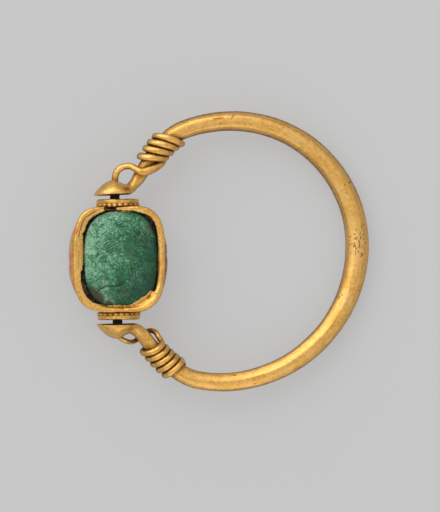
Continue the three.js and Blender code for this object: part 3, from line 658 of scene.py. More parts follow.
def rod_marks(rings, shank_share):
    """Painted shade on the rod's sides, the dark of its nicks, and the worn place, as numbers over its rings.
    """
    shade_and_marks = FLANK_SHADE * step_down(np.abs(np.sin(full_turn(ROD_SIDES))), *ROD_FLANKS)
    shade_and_marks = shade_and_marks * mix(FOOT_SHADE_SHARE, 1, shank_share)
    flat, height = rings[..., :2], rings[..., 2]
    for start, end in np.array(NICKS) * MM:
        nick = groove(np.linalg.norm(off_stroke(flat, start, end), axis=-1), NICK_WIDTH)
        shade_and_marks = np.maximum(shade_and_marks, FLANK_SHADE * nick * (height > 0))
    far = np.linalg.norm((flat - SCUFF_PLACE) / [1, SCUFF_STRETCH], axis=-1)
    return {"shade_and_marks": shade_and_marks, "scuff": groove(far, SCUFF_REACH) * step_up(height, 0, SCUFF_HEIGHT)}


class RING_OT_hoop(bpy.types.Operator):
    """Add the hoop with its shanks and pierced feet"""

    bl_idname = "ring.hoop"
    bl_label = "Hoop"

    def execute(self, context):
        """The rod is dented by soft ripples, more on its feet, flattened into faint long facets by the size
        of a cosine, and pierced for the pin."""
        scene = context.scene
        hoop, lean = scene.ring_hoop, hoop_lean(scene)
        rings, at = rod_surface(scene)
        shank_share = step_up(np.minimum(at, at[-1] - at), *FEET_GIVE_WAY)[:, None]
        around = full_turn(ROD_SIDES) + FACET_TWIST * np.sin(at / FACET_TWIST_LENGTH)[:, None]
        facets = FACET_DEPTH_SHARE * np.abs(np.cos(FACETS / 2 * around + FACET_TURN))
        dents = mix(FOOT_DENTS_SHARE, 1, shank_share) * unevenness(rings, ROD_DENTS)
        wear = hoop.unevenness * (dents - facets + unevenness(rings, ROD_GRAIN))
        out = rings - rings.mean(1, keepdims=True)
        radius = np.linalg.norm(out, axis=-1)
        worn = rings + out * (wear * step_up(radius, 0, THIN_ROD) / np.maximum(radius, TINY))[..., None]
        marks = {"unbent": straightened(hoop.rod_radius, ROD_SIDES, at), **rod_marks(rings, shank_share)}
        piece = skin("gold_hoop", set_down(worn, lean), marks=marks)
        base = foot_base(scene)
        reach = base + hoop.foot_edge + hoop.foot_dome + MM
        drill(piece, lean, base - MM, reach)
        drill(piece, lean, -reach, MM - base)
        gold = worked_gold("worked_gold", scene.ring_colours, grain=0.3 * MM, streaks=1)
        dress(piece, gold, "hoop", "hoop")
        return {"FINISHED"}


PIN_STATIONS = 180
PIN_SIDES = 40
PIN_CORROSION = [(0.03, 0.35 * MM, 11)]  # as a share of its radius


class RING_OT_pin(bpy.types.Operator):
    """Add the dark pin that the bezel turns on"""

    bl_idname = "ring.pin"
    bl_label = "Swivel pin"

    def execute(self, context):
        """A round rod between the bottoms of its two seats, thinned by corrosion."""
        along = np.linspace(-PIN_HALF_LENGTH, PIN_HALF_LENGTH, PIN_STATIONS)[:, None]
        around = full_turn(PIN_SIDES)[None]
        sides = [PIN_RADIUS * np.cos(around), along, PIN_RADIUS * np.sin(around)]
        rings = np.stack(np.broadcast_arrays(*sides), -1)
        rings[..., ::2] *= (1 - PIN_CORROSION[0][0] - unevenness(rings, PIN_CORROSION))[..., None]
        piece = skin("bronze_pin", set_down(rings, hoop_lean(context.scene)))
        dress(piece, corroded_bronze(context.scene.ring_colours), "hoop", "swivel_pin")
        return {"FINISHED"}


# Binding wires

WIRE_SIDES = 20
WIRE_SPACING = 0.055 * MM
# Layers of unevenness: height as a share of the wires' unevenness, and wavelength
WIRE_DENTS = [(1, 1.6 * MM), (0.4, 0.45 * MM)]
WIRE_SEED = 20
# How much the wire's section faces front or back: below the first its sides are painted brown as shade, above
# the second not
WIRE_FLANKS = (0.15, 0.6)
WIRE_END_SHARE = 0.6  # of the radius: how long the rounded ends are
WIRE_TIP_SHARE = 0.02  # of that: where the tip is cut off
TURN_STEPS = 24
FRONT_TURN = 0.25  # a quarter turn on from the outer side is the front
BEYOND_STEPS = 120


def beside_rod(scene, end, distance, around, wire_radius):
    """Places of a wire of some radius that touches the rod, at distances from the neck and angles from its
    outer side towards the front, and the way from the rod's middle to each. The rod's line is the shank, and
    past its end the round part of the hoop."""
    hoop = scene.ring_hoop
    beyond = end.side * np.linspace(end.end_angle, end.end_angle / 2, BEYOND_STEPS)[1:]
    rows = round_rows(hoop, beyond)
    line = np.vstack([shank_line(scene, end), np.hstack([(rows[:, :2] + rows[:, 2:4]) / 2, rows[:, 4:5]])])
    way = distances(line[:, :2])
    out = sideways(line) * end.side
    middle_x, middle_y, radius = (np.interp(distance, way, line[:, i]) for i in range(3))
    out_x, out_y = (np.interp(distance, way, out[:, i]) for i in range(2))
    reach = radius + wire_radius + scene.ring_wires.clearance
    c, s = np.cos(around), np.sin(around)
    outward = np.stack([out_x * c, out_y * c, s], -1)
    middle = np.stack([middle_x, middle_y, 0 * s], -1)
    return np.hstack([middle + outward * reach[:, None], outward])


def wire_line(scene, end):
    """Middle line of a binding wire: out of the foot's hole, round to the shank, then turns that advance by
    the pitch and lean by a sine and a cosine of their angle, and last the cut end. Where the wire first
    passes the finger side it runs ahead by the square of a cosine. Further columns are the way from the rod's
    middle, which is none before the first turn, and the wire's radius, which is larger by the root share up
    to the first turn and thins over that turn."""
    hoop, wires = scene.ring_hoop, scene.ring_wires
    wrap = end.neck_radius + end.wire_radius + wires.clearance
    lead = np.array(end.lead_shares) * [hoop.foot_radius, hoop.foot_radius, wrap]
    lead[:, 1] = (lead[:, 1] + foot_base(scene)) * end.side
    turn = np.arange(end.start_turn, end.finish_turn + 1 / (4 * TURN_STEPS), 1 / TURN_STEPS)

    def place(turns_made):
        later = turns_made - FRONT_TURN
        return end.first_turn + np.minimum(later, 1) * end.first_pitch + np.maximum(later - 1, 0) * end.pitch

    around = 2 * np.pi * (turn if end.sense > 0 else 0.5 - turn)
    progress = np.clip((turn - FRONT_TURN) / (wires.turns - 1), 0, 1)
    lean = mix(end.front_lean, end.last_front_lean, progress) * np.sin(around)
    lean -= mix(end.side_lean, end.last_side_lean, progress) * np.cos(around)
    lean += end.first_climb * np.cos(np.pi * np.clip(2 * turn - 1, -0.5, 0.5)) ** 2
    made = np.minimum(turn - end.start_turn, 1)
    thick = end.wire_radius * mix(1 + end.root_share, 1, made)
    line = [np.hstack([lead, 0 * lead]), beside_rod(scene, end, place(turn) + lean, around, thick)]
    radii = [np.full(len(lead), thick[0]), thick]
    if end.tail:
        on, around = np.array(end.tail).T
        tail = place(end.finish_turn) + on * end.pitch
        line.append(beside_rod(scene, end, tail, around * 2 * np.pi, np.full(len(on), end.wire_radius)))
        radii.append(np.full(len(on), end.wire_radius))
    points = np.hstack([np.vstack(line), np.concatenate(radii)[:, None]])
    return even_run(points, int(distances(points[:, :3])[-1] / WIRE_SPACING), slice(0, 3))


def carry(tangents):
    """Unit vectors square to a line's tangents, carried along it without twist."""
    up = np.cross([0.0, 0.0, 1.0], tangents[0])
    carried = []
    for tangent in tangents:
        up = up - tangent * (up @ tangent)
        up = up / np.linalg.norm(up)
        carried.append(up)
    return np.array(carried)


def wire_rings(run, seed, wires):
    """Round sections of uneven wire along a run of places, ways out and radii, drawn in as a circle to round
    ends. Where the wire lies on the rod its section is widened along it. Also gives the wire's straightened
    coordinates and the brown painted as shade on its sides as marks."""
    line, outward, radius = run[:, :3], run[:, 3:6], run[:, 6]
    tangents = np.gradient(line, axis=0)
    tangents /= np.linalg.norm(tangents, axis=1, keepdims=True)
    up = carry(tangents)
    across = np.cross(tangents, up)
    way = distances(line)
    from_end = np.minimum(way, way[-1] - way)
    ends = np.sqrt(1 - (1 - np.clip(from_end / (WIRE_END_SHARE * radius), WIRE_TIP_SHARE, 1)) ** 2)
    around = full_turn(WIRE_SIDES)[None, :, None]
    section = up[:, None] * np.cos(around) + across[:, None] * np.sin(around)
    offset = section * (radius * ends)[:, None, None]
    along_rod = offset - np.sum(offset * outward[:, None], -1, keepdims=True) * outward[:, None]
    on_rod = np.linalg.norm(outward, axis=1)[:, None, None]
    rings = line[:, None] + offset + (wires.flattening * on_rod) * along_rod
    layers = [(height, size, seed + i) for i, (height, size) in enumerate(WIRE_DENTS)]
    rings = rings + section * (wires.unevenness * unevenness(rings, layers) * ends[:, None])[..., None]
    # The wire's sides are painted brown as shade
    shade_and_marks = FLANK_SHADE * step_down(np.abs(section[..., 2]), *WIRE_FLANKS)
    return rings, {"unbent": straightened(radius[:, None], WIRE_SIDES, way), "shade_and_marks": shade_and_marks}


class RING_OT_binding_wires(bpy.types.Operator):
    """Add the two wires that are wound on the shanks"""

    bl_idname = "ring.binding_wires"
    bl_label = "Binding wires"

    def execute(self, context):
        """Each wire is one unbroken tube from the foot's hole to its cut end."""
        scene = context.scene
        gold = worked_gold("wire_gold", scene.ring_colours, grain=0.24 * MM, streaks=0.6)
        for order, (name, end) in enumerate(rod_ends(scene).items()):
            rings, marks = wire_rings(wire_line(scene, end), WIRE_SEED + 2 * order, scene.ring_wires)
            piece = skin(f"{name}_gold_wire", set_down(rings, hoop_lean(scene)), marks=marks)
            dress(piece, gold, "hoop", f"{name}_binding_wire")
        return {"FINISHED"}


# Collars and beaded wires

BEAD_LIFT = 0.12 * MM  # the beads stand out from the pin by this more than in the solid model
BEAD_SWELL_SHARE = 1.3  # and are larger by this
BEAD_BED_SHARE = 0.6  # each disc comes this share of a bead's radius past the beads' middle
BEAD_STEPS = 14  # along each bead and round it
BEAD_ERROR = (0.88, 1)  # smallest and largest bead, as shares
BEAD_SEED = 40
BEAD_VALLEY = (0.55, 0.95)  # share of the way to the neck: the painted shade between beads begins, and is full
VALLEY_SHADE = 1.2
# Collar section: share of the way from bore to edge, and share of the thickness
COLLAR_SECTION_SHARES = [
    [0, 0], [0.5, 0], [0.93, 0], [0.985, 0.1], [1, 0.35], [1, 0.68], [0.98, 0.92], [0.92, 1], [0.5, 1],
    [0, 1],
]
COLLAR_SECTION_STEPS = 44
COLLAR_STEPS = 180
COLLAR_DENTS = [(0.022 * MM, 1.7 * MM, 30), (0.01 * MM, 0.5 * MM, 32)]
COLLAR_DENTS_BEGIN = (0.1, 0.4)  # share of the way from bore to edge
COLLAR_EDGE = math.radians(60)  # edges sharper than this stay sharp


def collar_sides(scene):
    """Name, side and offset of each collar."""
    collars = scene.ring_collars
    return [("upper", 1, collars.upper_offset), ("lower", -1, collars.lower_offset)]


def bead_middle(scene):
    """Distance of the beads from the ring's middle: the wall's half length, a fit gap and a bead's radius."""
    bezel = scene.ring_bezel
    wall = bezel.stone_half_length + bezel.mouth_end_gap + bezel.rim_end_width - bezel.wall_end_draw
    return wall + bezel.fit_gap + scene.ring_collars.bead_radius


class RING_OT_collars(bpy.types.Operator):
    """Add the two collar discs"""

    bl_idname = "ring.collars"
    bl_label = "Collar discs"

    def execute(self, context):
        """A rounded section carried round the pin, from the bore's circle to the collar's own, which lies a
        little to one side. It is dented by soft ripples."""
        scene = context.scene
        collars, bezel = scene.ring_collars, scene.ring_bezel
        outer = bead_middle(scene) + collars.bead_radius + bezel.fit_gap + collars.thickness
        inner = bead_middle(scene) + BEAD_BED_SHARE * collars.bead_radius
        bore = PIN_RADIUS + scene.ring_hoop.bore_clearance
        across, up = even_run(np.array(COLLAR_SECTION_SHARES, float), COLLAR_SECTION_STEPS).T[:, None, :]
        around = full_turn(COLLAR_STEPS)[:, None]
        gold = worked_gold("collar_gold", scene.ring_colours, grain=0.22 * MM, grime_and_shade=0.6)
        for order, (name, side, offset) in enumerate(collar_sides(scene)):
            x = mix(bore * np.cos(around), offset + collars.radius * np.cos(around), across)
            z = mix(bore, collars.radius, across) * np.sin(around)
            rings = np.stack([x, side * mix(inner, outer, up) + 0 * x, z], -1)
            dents = unevenness(rings, [(height, size, seed + order) for height, size, seed in COLLAR_DENTS])
            dents = dents * step_up(across, *COLLAR_DENTS_BEGIN)
            rings = rings + side * facing(rings) * dents[..., None]
            piece = skin(f"{name}_collar", set_down(rings, bezel.turn), closed=True)
            piece.data.set_sharp_from_angle(angle=COLLAR_EDGE)
            dress(piece, gold, "bezel", f"{name}_collar_disc")
        return {"FINISHED"}


class RING_OT_beaded_rings(bpy.types.Operator):
    """Add the two rings of beaded wire"""

    bl_idname = "ring.beaded_rings"
    bl_label = "Beaded rings"

    def execute(self, context):
        """A ring whose section swells into beads: along each bead the radius follows a circle that is cut off
        at the neck. Each bead has its own small error of size."""
        scene = context.scene
        collars, bezel = scene.ring_collars, scene.ring_bezel
        stations = collars.beads * BEAD_STEPS
        around = full_turn(stations)[:, None]
        along = (2 * (np.arange(stations) % BEAD_STEPS + 0.5) / BEAD_STEPS - 1)[:, None]
        along_bead = np.sqrt(1 - (1 - collars.neck_share ** 2) * along ** 2)
        swell = BEAD_SWELL_SHARE * collars.bead_radius * along_bead
        # Between the beads the gold is painted brown as shade
        valley = VALLEY_SHADE * step_up(np.abs(along), *BEAD_VALLEY) * np.ones(BEAD_STEPS)
        draw = np.random.default_rng(BEAD_SEED)
        gold = worked_gold("beaded_gold", scene.ring_colours, grain=0.18 * MM, grime_and_shade=0.7)
        for name, side, offset in collar_sides(scene):
            radius = swell * np.repeat(draw.uniform(*BEAD_ERROR, collars.beads), BEAD_STEPS)[:, None]
            out = collars.ring_radius + BEAD_LIFT + radius * np.cos(full_turn(BEAD_STEPS))
            y = side * bead_middle(scene) + radius * np.sin(full_turn(BEAD_STEPS))
            rings = np.stack([offset + out * np.cos(around), y, out * np.sin(around)], -1)
            piece = skin(f"{name}_beading", set_down(rings, bezel.turn), closed=True, marks={"shade_and_marks": valley})
            dress(piece, gold, "bezel", f"{name}_beaded_ring")
        return {"FINISHED"}


# Bezel: wall, rim, foil and bedding

# Shares of the way from the wall's back edge to the rim, outside and inside
WALL_SHARES = [0, 0.2, 0.4, 0.6, 0.8, 0.94]
INNER_WALL_SHARES = [0.86, 0.6, 0.35, 0.08]
BEDDING_SHARES = [0.84, 0.6, 0.35, 0.1]
# The rim's section: share of its width from the stone's side, and share of its height
RIM_SHARES = [[1, 0.02], [1, 0.35], [0.88, 0.8], [0.5, 1], [0.12, 0.8], [0, 0.3], [0.04, -0.1]]
OUTLINE_STEPS = 420
WALL_STATIONS = 96
# The rim is broken away over the pin, and the notch is painted brown as shade
NOTCH_MIDDLE = -0.7 * MM
NOTCH_HALF_WIDTH = 0.55 * MM
NOTCH_DEPTH = 1.25 * MM
NOTCH_EDGE = (-0.09 * MM, 0.05 * MM)
NOTCH_RAGGED = [(0.06 * MM, 0.5 * MM, 53)]
NOTCH_SHADE = 2.2
# The rim is pressed in over the upper collar, from one distance to another above the ring's middle
PRESS_MIDDLE = -0.3 * MM
PRESS_WIDTH = 2.1 * MM
PRESS_DEPTH = 0.28 * MM
PRESS_HEIGHTS = (3 * MM, 4 * MM)
# Layers of unevenness: height, wavelength and seed
WALL_DENTS = [(0.026 * MM, 2.3 * MM, 50), (0.01 * MM, 0.8 * MM, 51)]
RIM_DENTS = [(0.006 * MM, 0.45 * MM, 52)]
RIM_BEGINS = (-0.3 * MM, 0.1 * MM)  # over the rim's underside
SEAM_RISE = 0.02 * MM  # a dark line just over the rim's underside, where the wall meets it: dirt and painted shade in the joint
SEAM_WIDTH = 0.09 * MM
SEAM_SHADE = 1.2
TARNISH_REACH = 32  # degrees round from the right side
TARNISH_FILM = 1.2
# Red residue on the wall: middle x, y and z, and reach in all three, in millimetres from the setting's middle
RED_PATCHES = [
    (-4.25, 2.9, 1.5, 0.5, 0.8, 1.0), (-4.7, 0.4, 0.9, 0.6, 0.5, 1.0), (-4.72, -0.8, 0.8, 0.6, 0.55, 0.75),
    (-4.45, -2.6, 1.1, 0.6, 0.65, 0.9), (-4.15, -3.5, 1.3, 0.4, 0.5, 0.6), (-3.6, -4.25, 0.9, 0.5, 0.3, 0.5),
    (-4.6, 1.7, -1.2, 0.6, 0.5, 0.4), (-4.5, -1.9, -1.4, 0.6, 0.7, 0.35),
]
RED_STRENGTH = 1.7
RED_EDGES = ([(0.16 * MM, 0.9 * MM, 54)], [(0.2 * MM, 0.7 * MM, 55)])  # how the edges wander in y and in z


def rim_sizes(bezel):
    """Half width and half length of the rim, and the height of its underside over the pin's axis."""
    collars = bpy.context.scene.ring_collars
    half_width = bezel.stone_half_width + bezel.mouth_side_gap + bezel.rim_side_width
    half_length = bezel.stone_half_length + bezel.mouth_end_gap + bezel.rim_end_width
    return half_width, half_length, collars.ring_radius + collars.bead_radius + 2 * bezel.fit_gap


def wall_rows(bezel, shares, inset):
    """Half width, half length, height and squareness of the wall at shares of its way from back edge to rim,
    and its two shifts and its turn, which are none. It draws in with the square of the distance from its
    widest height."""
    shares = np.array(shares)
    half_width, half_length, under = rim_sizes(bezel)
    widest = (bezel.wall_widest_height + bezel.wall_back_depth) / (under + bezel.wall_back_depth)
    above = np.maximum((shares - widest) / (1 - widest), 0) ** 2
    below = np.maximum((widest - shares) / widest, 0) ** 2
    return np.stack([
        half_width + bezel.wall_bulge * (1 - above) - bezel.wall_back_draw * below - inset,
        half_length - bezel.wall_end_draw - bezel.wall_back_draw * below - inset,
        mix(-bezel.wall_back_depth, under, shares),
        np.full_like(shares, bezel.wall_squareness),
        *np.zeros((3, len(shares))),
    ], -1)


def rim_rows(bezel, shares):
    """Half width, half length, height and squareness of the rim at shares of its width and height, and its
    two shifts and its turn."""
    across, up = np.array(shares).T
    half_width, half_length, under = rim_sizes(bezel)
    place = [bezel.rim_squareness, bezel.rim_side_shift, bezel.rim_end_shift, bezel.rim_turn]
    return np.stack([
        half_width - bezel.rim_side_width * (1 - across),
        half_length - bezel.rim_end_width * (1 - across),
        under + bezel.rim_height * up,
        *np.outer(place, np.ones_like(up)),
    ], -1)


def outline_rings(bezel, rows, steps):
    """Superellipse rings round the setting's middle, one for each row, turned and shifted in their plane."""
    around = full_turn(steps)[None]
    half_width, half_length, height, squareness, shift_x, shift_y, turn = rows.T[..., None]
    x, y = outline(around, half_width, half_length, squareness)
    c, s = np.cos(turn), np.sin(turn)
    return np.stack([bezel.offset + shift_x + x * c - y * s, shift_y + x * s + y * c, height + 0 * x], -1)


def damage_rim(rings, share_lost, share_pressed):
    """Lowers the rim in its ragged notch over the pin, moves it inwards over the upper collar by a bell curve
    of the distance along it, and gives the notch as shares."""
    inside = NOTCH_HALF_WIDTH + unevenness(rings, NOTCH_RAGGED) - np.abs(rings[..., 0] - NOTCH_MIDDLE)
    notch = step_up(inside, *NOTCH_EDGE) * (rings[..., 1] > 0) * share_lost
    rings[..., 2] -= NOTCH_DEPTH * notch
    pressed = groove(rings[..., 0] - PRESS_MIDDLE, PRESS_WIDTH) * step_up(rings[..., 1], *PRESS_HEIGHTS)
    rings[..., 1] -= PRESS_DEPTH * share_pressed * pressed
    return notch


def red_residue(bezel, rings):
    """Share of red earth: bell curves of the distance from its patches, added up, with wandering edges."""
    at = rings - [bezel.offset, 0, 0]
    for axis, edges in zip((1, 2), RED_EDGES):
        at[..., axis] += unevenness(rings, edges)
    places = (np.array(RED_PATCHES) * MM).reshape(-1, 2, 3)
    total = sum(groove(np.linalg.norm((at - middle) / reach, axis=-1), 1) for middle, reach in places)
    return np.minimum(RED_STRENGTH * total, 1)


class RING_OT_bezel_frame(bpy.types.Operator):
    """Add the gold wall and rim that hold the stone"""

    bl_idname = "ring.bezel_frame"
    bl_label = "Bezel frame"

    def execute(self, context):
        """A section through wall and rim, carried round the superellipse outlines of its own heights. It is
        dented all over, more on the rim, and broken away over the pin."""
        scene = context.scene
        bezel = scene.ring_bezel
        under = rim_sizes(bezel)[2]
        rows = np.vstack([
            wall_rows(bezel, WALL_SHARES, 0), rim_rows(bezel, RIM_SHARES),
            wall_rows(bezel, INNER_WALL_SHARES, bezel.wall_thickness),
        ])
        rings = outline_rings(bezel, even_run(rows, WALL_STATIONS, slice(0, 3)), OUTLINE_STEPS)
        on_rim = step_up(rings[..., 2] - under, *RIM_BEGINS)
        dents = unevenness(rings, WALL_DENTS) + on_rim * unevenness(rings, RIM_DENTS)
        rings = rings + facing(rings) * dents[..., None]
        notch = damage_rim(rings, on_rim, on_rim)
        # Where the wall meets the rim a dark line is painted: dirt and painted shade in the joint
        seam = SEAM_SHADE * groove(rings[..., 2] - under - SEAM_RISE, SEAM_WIDTH)
        turn = np.degrees(full_turn(OUTLINE_STEPS))
        from_right = np.minimum(turn, 360 - turn)
        marks = {
            "red_earth": red_residue(bezel, rings),
            "tarnish": TARNISH_FILM * groove(from_right, TARNISH_REACH) * (1 - on_rim),
            # The notch is painted brown as shade
            "shade_and_marks": np.maximum(NOTCH_SHADE * notch, seam),
        }
        piece = skin("gold_bezel", set_down(rings, bezel.turn), closed=True, marks=marks)
        reach = rows[:, 1].max() + MM
        drill(piece, bezel.turn, -reach, reach)
        gold = worked_gold("bezel_gold", scene.ring_colours, grain=0.3 * MM, stains=True)
        dress(piece, gold, "bezel", "bezel_frame")
        return {"FINISHED"}


# Torn inner edge of the foil: angle round the mouth in degrees, and share of the reach
FOIL_TEAR_SHARES = [
    [0, 0.55], [30, 0.55], [40, 0.5], [55, 0.45], [63, 0.7], [75, 1], [85, 1.1], [88, 0.1], [98, 0],
    [102, 0.6], [112, 1.25], [118, 1.5], [128, 1.6], [134, 1.75], [139, 1.75], [143, 1.55], [145, 1.05],
    [149, 1.55], [160, 1.65], [176, 1.6], [190, 1.6], [195, 1.4], [197.5, 0.6], [202, 0.6], [225, 0.85],
    [240, 0.85], [246, 0.9], [265, 0.8], [278, 0.85], [286, 1.4], [299, 2.75], [307, 2.5], [313.5, 2],
    [315.5, 0.9], [319, 0.55], [360, 0.55],
]
# Rows of the foil's section, as shares of the way from the rim inwards, more of them where it is creased
FOIL_UPPER_SHARES = [0, 0.1, 0.2, 0.28, 0.34, 0.4, 0.46, 0.54, 0.66, 0.8, 0.94]
FOIL_STEPS = 900
FOIL_LAP_SHARE = 0.5  # of the rim's width: how far the foil reaches over the rim's shoulder
FOIL_RISE_SHARE = 0.9  # of the rim's height: how high it meets the rim's crest
FOIL_FALL_POWER = 2.2  # the higher, the later the foil falls from the crest to the stone
FOIL_LIFT = 0.02 * MM  # the torn edge stands off the stone by this
FOIL_LOOSE = (0.05, 0.5)  # the foil grows loose between these shares of the way inwards
FOIL_TORN_SHARES = (0.6, 0.2)  # of the thickness: the rows that round the torn edge
FOIL_EDGE = math.radians(70)
# Layers of unevenness: height, wavelength and seed, for the torn edge as shares of the reach
TEAR_RAGGED = [(0.1, 1.1 * MM, 60), (0.07, 0.4 * MM, 61), (0.04, 0.16 * MM, 62)]
FOIL_CRUMPLE = [(0.02 * MM, 1.1 * MM, 63), (0.008 * MM, 0.4 * MM, 64)]
FOLD_WANDER = [(0.06, 1.5 * MM, 65)]
# The foil is creased along the left, and the crease is painted brown as shade: where a fold begins, is full,
# fades and ends, in degrees round the mouth, and its share of the depth
FOLDS = [(108, 116, 148, 160, 1), (165, 170, 190, 195, 0.5)]
FOLD_DEPTH = 0.05 * MM
FOLD_SHARE = 0.36  # of the way from the rim inwards
FOLD_WIDTH = 0.07
FOLD_SHADE = 1.8
# Crown and rolled edge of the sealing face: share of the fall, and power
FACE_FALLS = ((0.75, 7), (0.25, 40))


def face_drop_share(edge_share):
    """How far the sealing face has fallen at a share of the stone's outline: a crown that falls with one
    power of the share, and a rolled edge that falls with a far higher one."""
    return sum(depth * edge_share ** exponent for depth, exponent in FACE_FALLS)


def foil_section():
    """The foil's section: shares of the way from the rim inwards and of its thickness, over its outside,
    round the torn edge and back."""
    above = [(share_in, 1) for share_in in FOIL_UPPER_SHARES]
    below = [(share_in, 0) for share_in in FOIL_UPPER_SHARES[:1:-1]]
    torn = [(1, height_share) for height_share in FOIL_TORN_SHARES]
    return np.array([(0, 0), *above, *torn, *below]).T[:, None, :]


class RING_OT_foil_lip(bpy.types.Operator):
    """Add the torn gold foil over the stone's margin"""

    bl_idname = "ring.foil_lip"
    bl_label = "Foil lip"

    def execute(self, context):
        """A thin closed section from the rim's inner side to a torn edge, whose reach follows the tear table
        with ragged noise. It lies on the stone, climbs beyond it to the rim's crest, ever flatter, and is
        crumpled and creased. Over the pin it is pushed down with the rim."""
        scene = context.scene
        bezel = scene.ring_bezel
        mouth = outline_rings(bezel, rim_rows(bezel, [[FOIL_LAP_SHARE, 0]]), FOIL_STEPS)[0]
        mouth[:, 2] = 0
        middle = np.array([bezel.offset + bezel.rim_side_shift, bezel.rim_end_shift])
        edge = mouth[:, :2] - middle
        turn = np.degrees(np.arctan2(edge[:, 1], edge[:, 0])) % 360
        tear = np.interp(turn, *np.array(FOIL_TEAR_SHARES).T)
        reach = bezel.foil_reach * np.maximum(tear + unevenness(mouth, TEAR_RAGGED) * np.minimum(tear, 1), 0)
        reach += bezel.rim_side_width * FOIL_LAP_SHARE
        across, up = foil_section()
        inward = 1 - (reach / np.linalg.norm(edge, axis=1))[:, None] * across
        x, y = (middle[i] + edge[:, i:i + 1] * inward for i in (0, 1))
        n = bezel.stone_squareness
        off_x, off_y = x - bezel.offset - bezel.stone_side_shift, y - bezel.stone_end_shift
        at_stone = np.abs(off_x / bezel.stone_half_width) ** n + np.abs(off_y / bezel.stone_half_length) ** n
        at_stone = at_stone ** (1 / n)
        fallen = bezel.margin_drop * face_drop_share(np.minimum(at_stone, 1))
        bed = bezel.face_height - fallen + 2 * bezel.fit_gap
        crest = np.clip((at_stone - 1) / (at_stone[:, :1] - 1), 0, 1)
        shoulder = rim_sizes(bezel)[2] + FOIL_RISE_SHARE * bezel.rim_height
        lip = mix(bed, shoulder, 1 - (1 - crest) ** FOIL_FALL_POWER)
        place = np.stack([x, y, 0 * x], -1)
        lip += (unevenness(place, FOIL_CRUMPLE) + FOIL_LIFT) * step_up(across, *FOIL_LOOSE)
        fold = sum(
            depth_share * step_up(turn, begins, full) * step_down(turn, fades, ends)
            for begins, full, fades, ends, depth_share in FOLDS
        )
        fold = fold[:, None] * groove(across - FOLD_SHARE - unevenness(place, FOLD_WANDER), FOLD_WIDTH)
        rings = np.stack([x, y, lip - FOLD_DEPTH * fold + bezel.foil_thickness * up], -1)
        notch = damage_rim(rings, 1, 1 - across)
        # The notch and the crease are painted brown as shade
        marks = {"shade_and_marks": np.maximum(NOTCH_SHADE * notch, FOLD_SHADE * fold)}
        piece = skin("torn_foil", set_down(rings, bezel.turn), closed=True, marks=marks)
        piece.data.set_sharp_from_angle(angle=FOIL_EDGE)
        gold = worked_gold("beaten_foil", scene.ring_colours, grain=0.2 * MM)
        dress(piece, gold, "bezel", "foil_lip")
        return {"FINISHED"}


BEDDING_STATIONS = 61
BEDDING_STEPS = 300
BEDDING_LUMPS = [(0.05 * MM, 0.9 * MM, 70), (0.03 * MM, 0.35 * MM, 71)]
BEDDING_SINK = 0.04 * MM
BEDDING_TOP = 0.3 * MM  # only this much at the top is lumpy


class RING_OT_bedding(bpy.types.Operator):
    """Add the dark filling between stone and wall"""

    bl_idname = "ring.bedding"
    bl_label = "Mastic bedding"

    def execute(self, context):
        """A ring between the wall's inside and the stone's side, with a lumpy top."""
        bezel = context.scene.ring_bezel
        gap = bezel.fit_gap
        wall = wall_rows(bezel, BEDDING_SHARES, bezel.wall_thickness + gap)
        stone = [
            [
                bezel.stone_half_width + gap, bezel.stone_half_length + gap, height, bezel.stone_squareness,
                bezel.stone_side_shift, bezel.stone_end_shift, 0,
            ]
            for height in wall[[-1, 0], 2]
        ]
        section = even_run(np.vstack([wall, stone, wall[:1]]), BEDDING_STATIONS, slice(0, 3))[:-1]
        rings = outline_rings(bezel, section, BEDDING_STEPS)
        lumps = unevenness(rings, BEDDING_LUMPS) - BEDDING_SINK
        rings[..., 2] += lumps * step_up(rings[..., 2] - wall[0, 2], -BEDDING_TOP, 0)
        piece = skin("dark_bedding", set_down(rings, bezel.turn), closed=True)
        reach = rings[..., 1].max() + MM
        drill(piece, bezel.turn, -reach, reach)
        dress(piece, dark_mastic(context.scene.ring_colours), "bezel", "mastic_bedding")
        return {"FINISHED"}


# Stone

FACE_STEPS = 170
SIDE_STATIONS = 24
# From the face's edge to the beetle's foot: share of the outline, and depth as a share of the plinth's depth
PLINTH_SHARES = [[1, 0.7], [0.975, 1], [0.9, 1.05]]
LEGS_SHARE = (0.9, 0.06)  # where the stone is narrowest: share of the outline, and of the way to the back
# The beetle's back from its middle outwards: share of the outline, and share of the depth behind the plinth
DOME_SHARES = [[0, 1], [0.2, 0.985], [0.4, 0.93], [0.61, 0.81], [0.78, 0.62], [0.89, 0.38], [0.93, 0.16]]
DOME_STEPS = 300
# Places on the face, as shares of the stone's half width and half length, and the reach of each: a fine
# crack, a dark spot, and where there are dirt, scratches, pale veins and an olive cast
CRACK_SHARES = [(-0.72, -0.78), (-0.7, -0.69), (-0.56, -0.6), (-0.4, -0.57), (-0.15, -0.565), (0.03, -0.53)]
CRACK_WIDTH = 0.017
SPOT_SHARES = (0.72, 0.46)
SPOT_WIDTH = 0.03
SPOT_DARKNESS = 0.9
DIRT_SHARES = [(-0.84, -0.7, 0.2), (-0.66, -0.86, 0.25), (-0.36, -0.98, 0.16), (0.9, 0.68, 0.16)]
SCORED_SHARES = [(-0.55, 0.5, 0.45), (-0.3, 0.3, 0.3), (-0.7, 0.1, 0.3)]
VEINED_SHARES = [(0.55, 0.5, 0.35), (0.3, 0.75, 0.25), (0.45, -0.3, 0.25), (0.1, -0.05, 0.2)]
OLIVE_SHARES = [
    (-0.5, -0.5, 0.35), (0.2, 0.15, 0.25), (-0.3, -0.8, 0.3), (0.75, 0.6, 0.25), (0.1, -0.7, 0.25),
]
MARGIN_DIRT = (0.965, 1)  # shares of the outline between which dirt comes up, to a share of the full dirt
MARGIN_DIRT_SHARE = 0.35
CHIPPED = (0.9, 0.98)  # shares of the outline between which chips come up
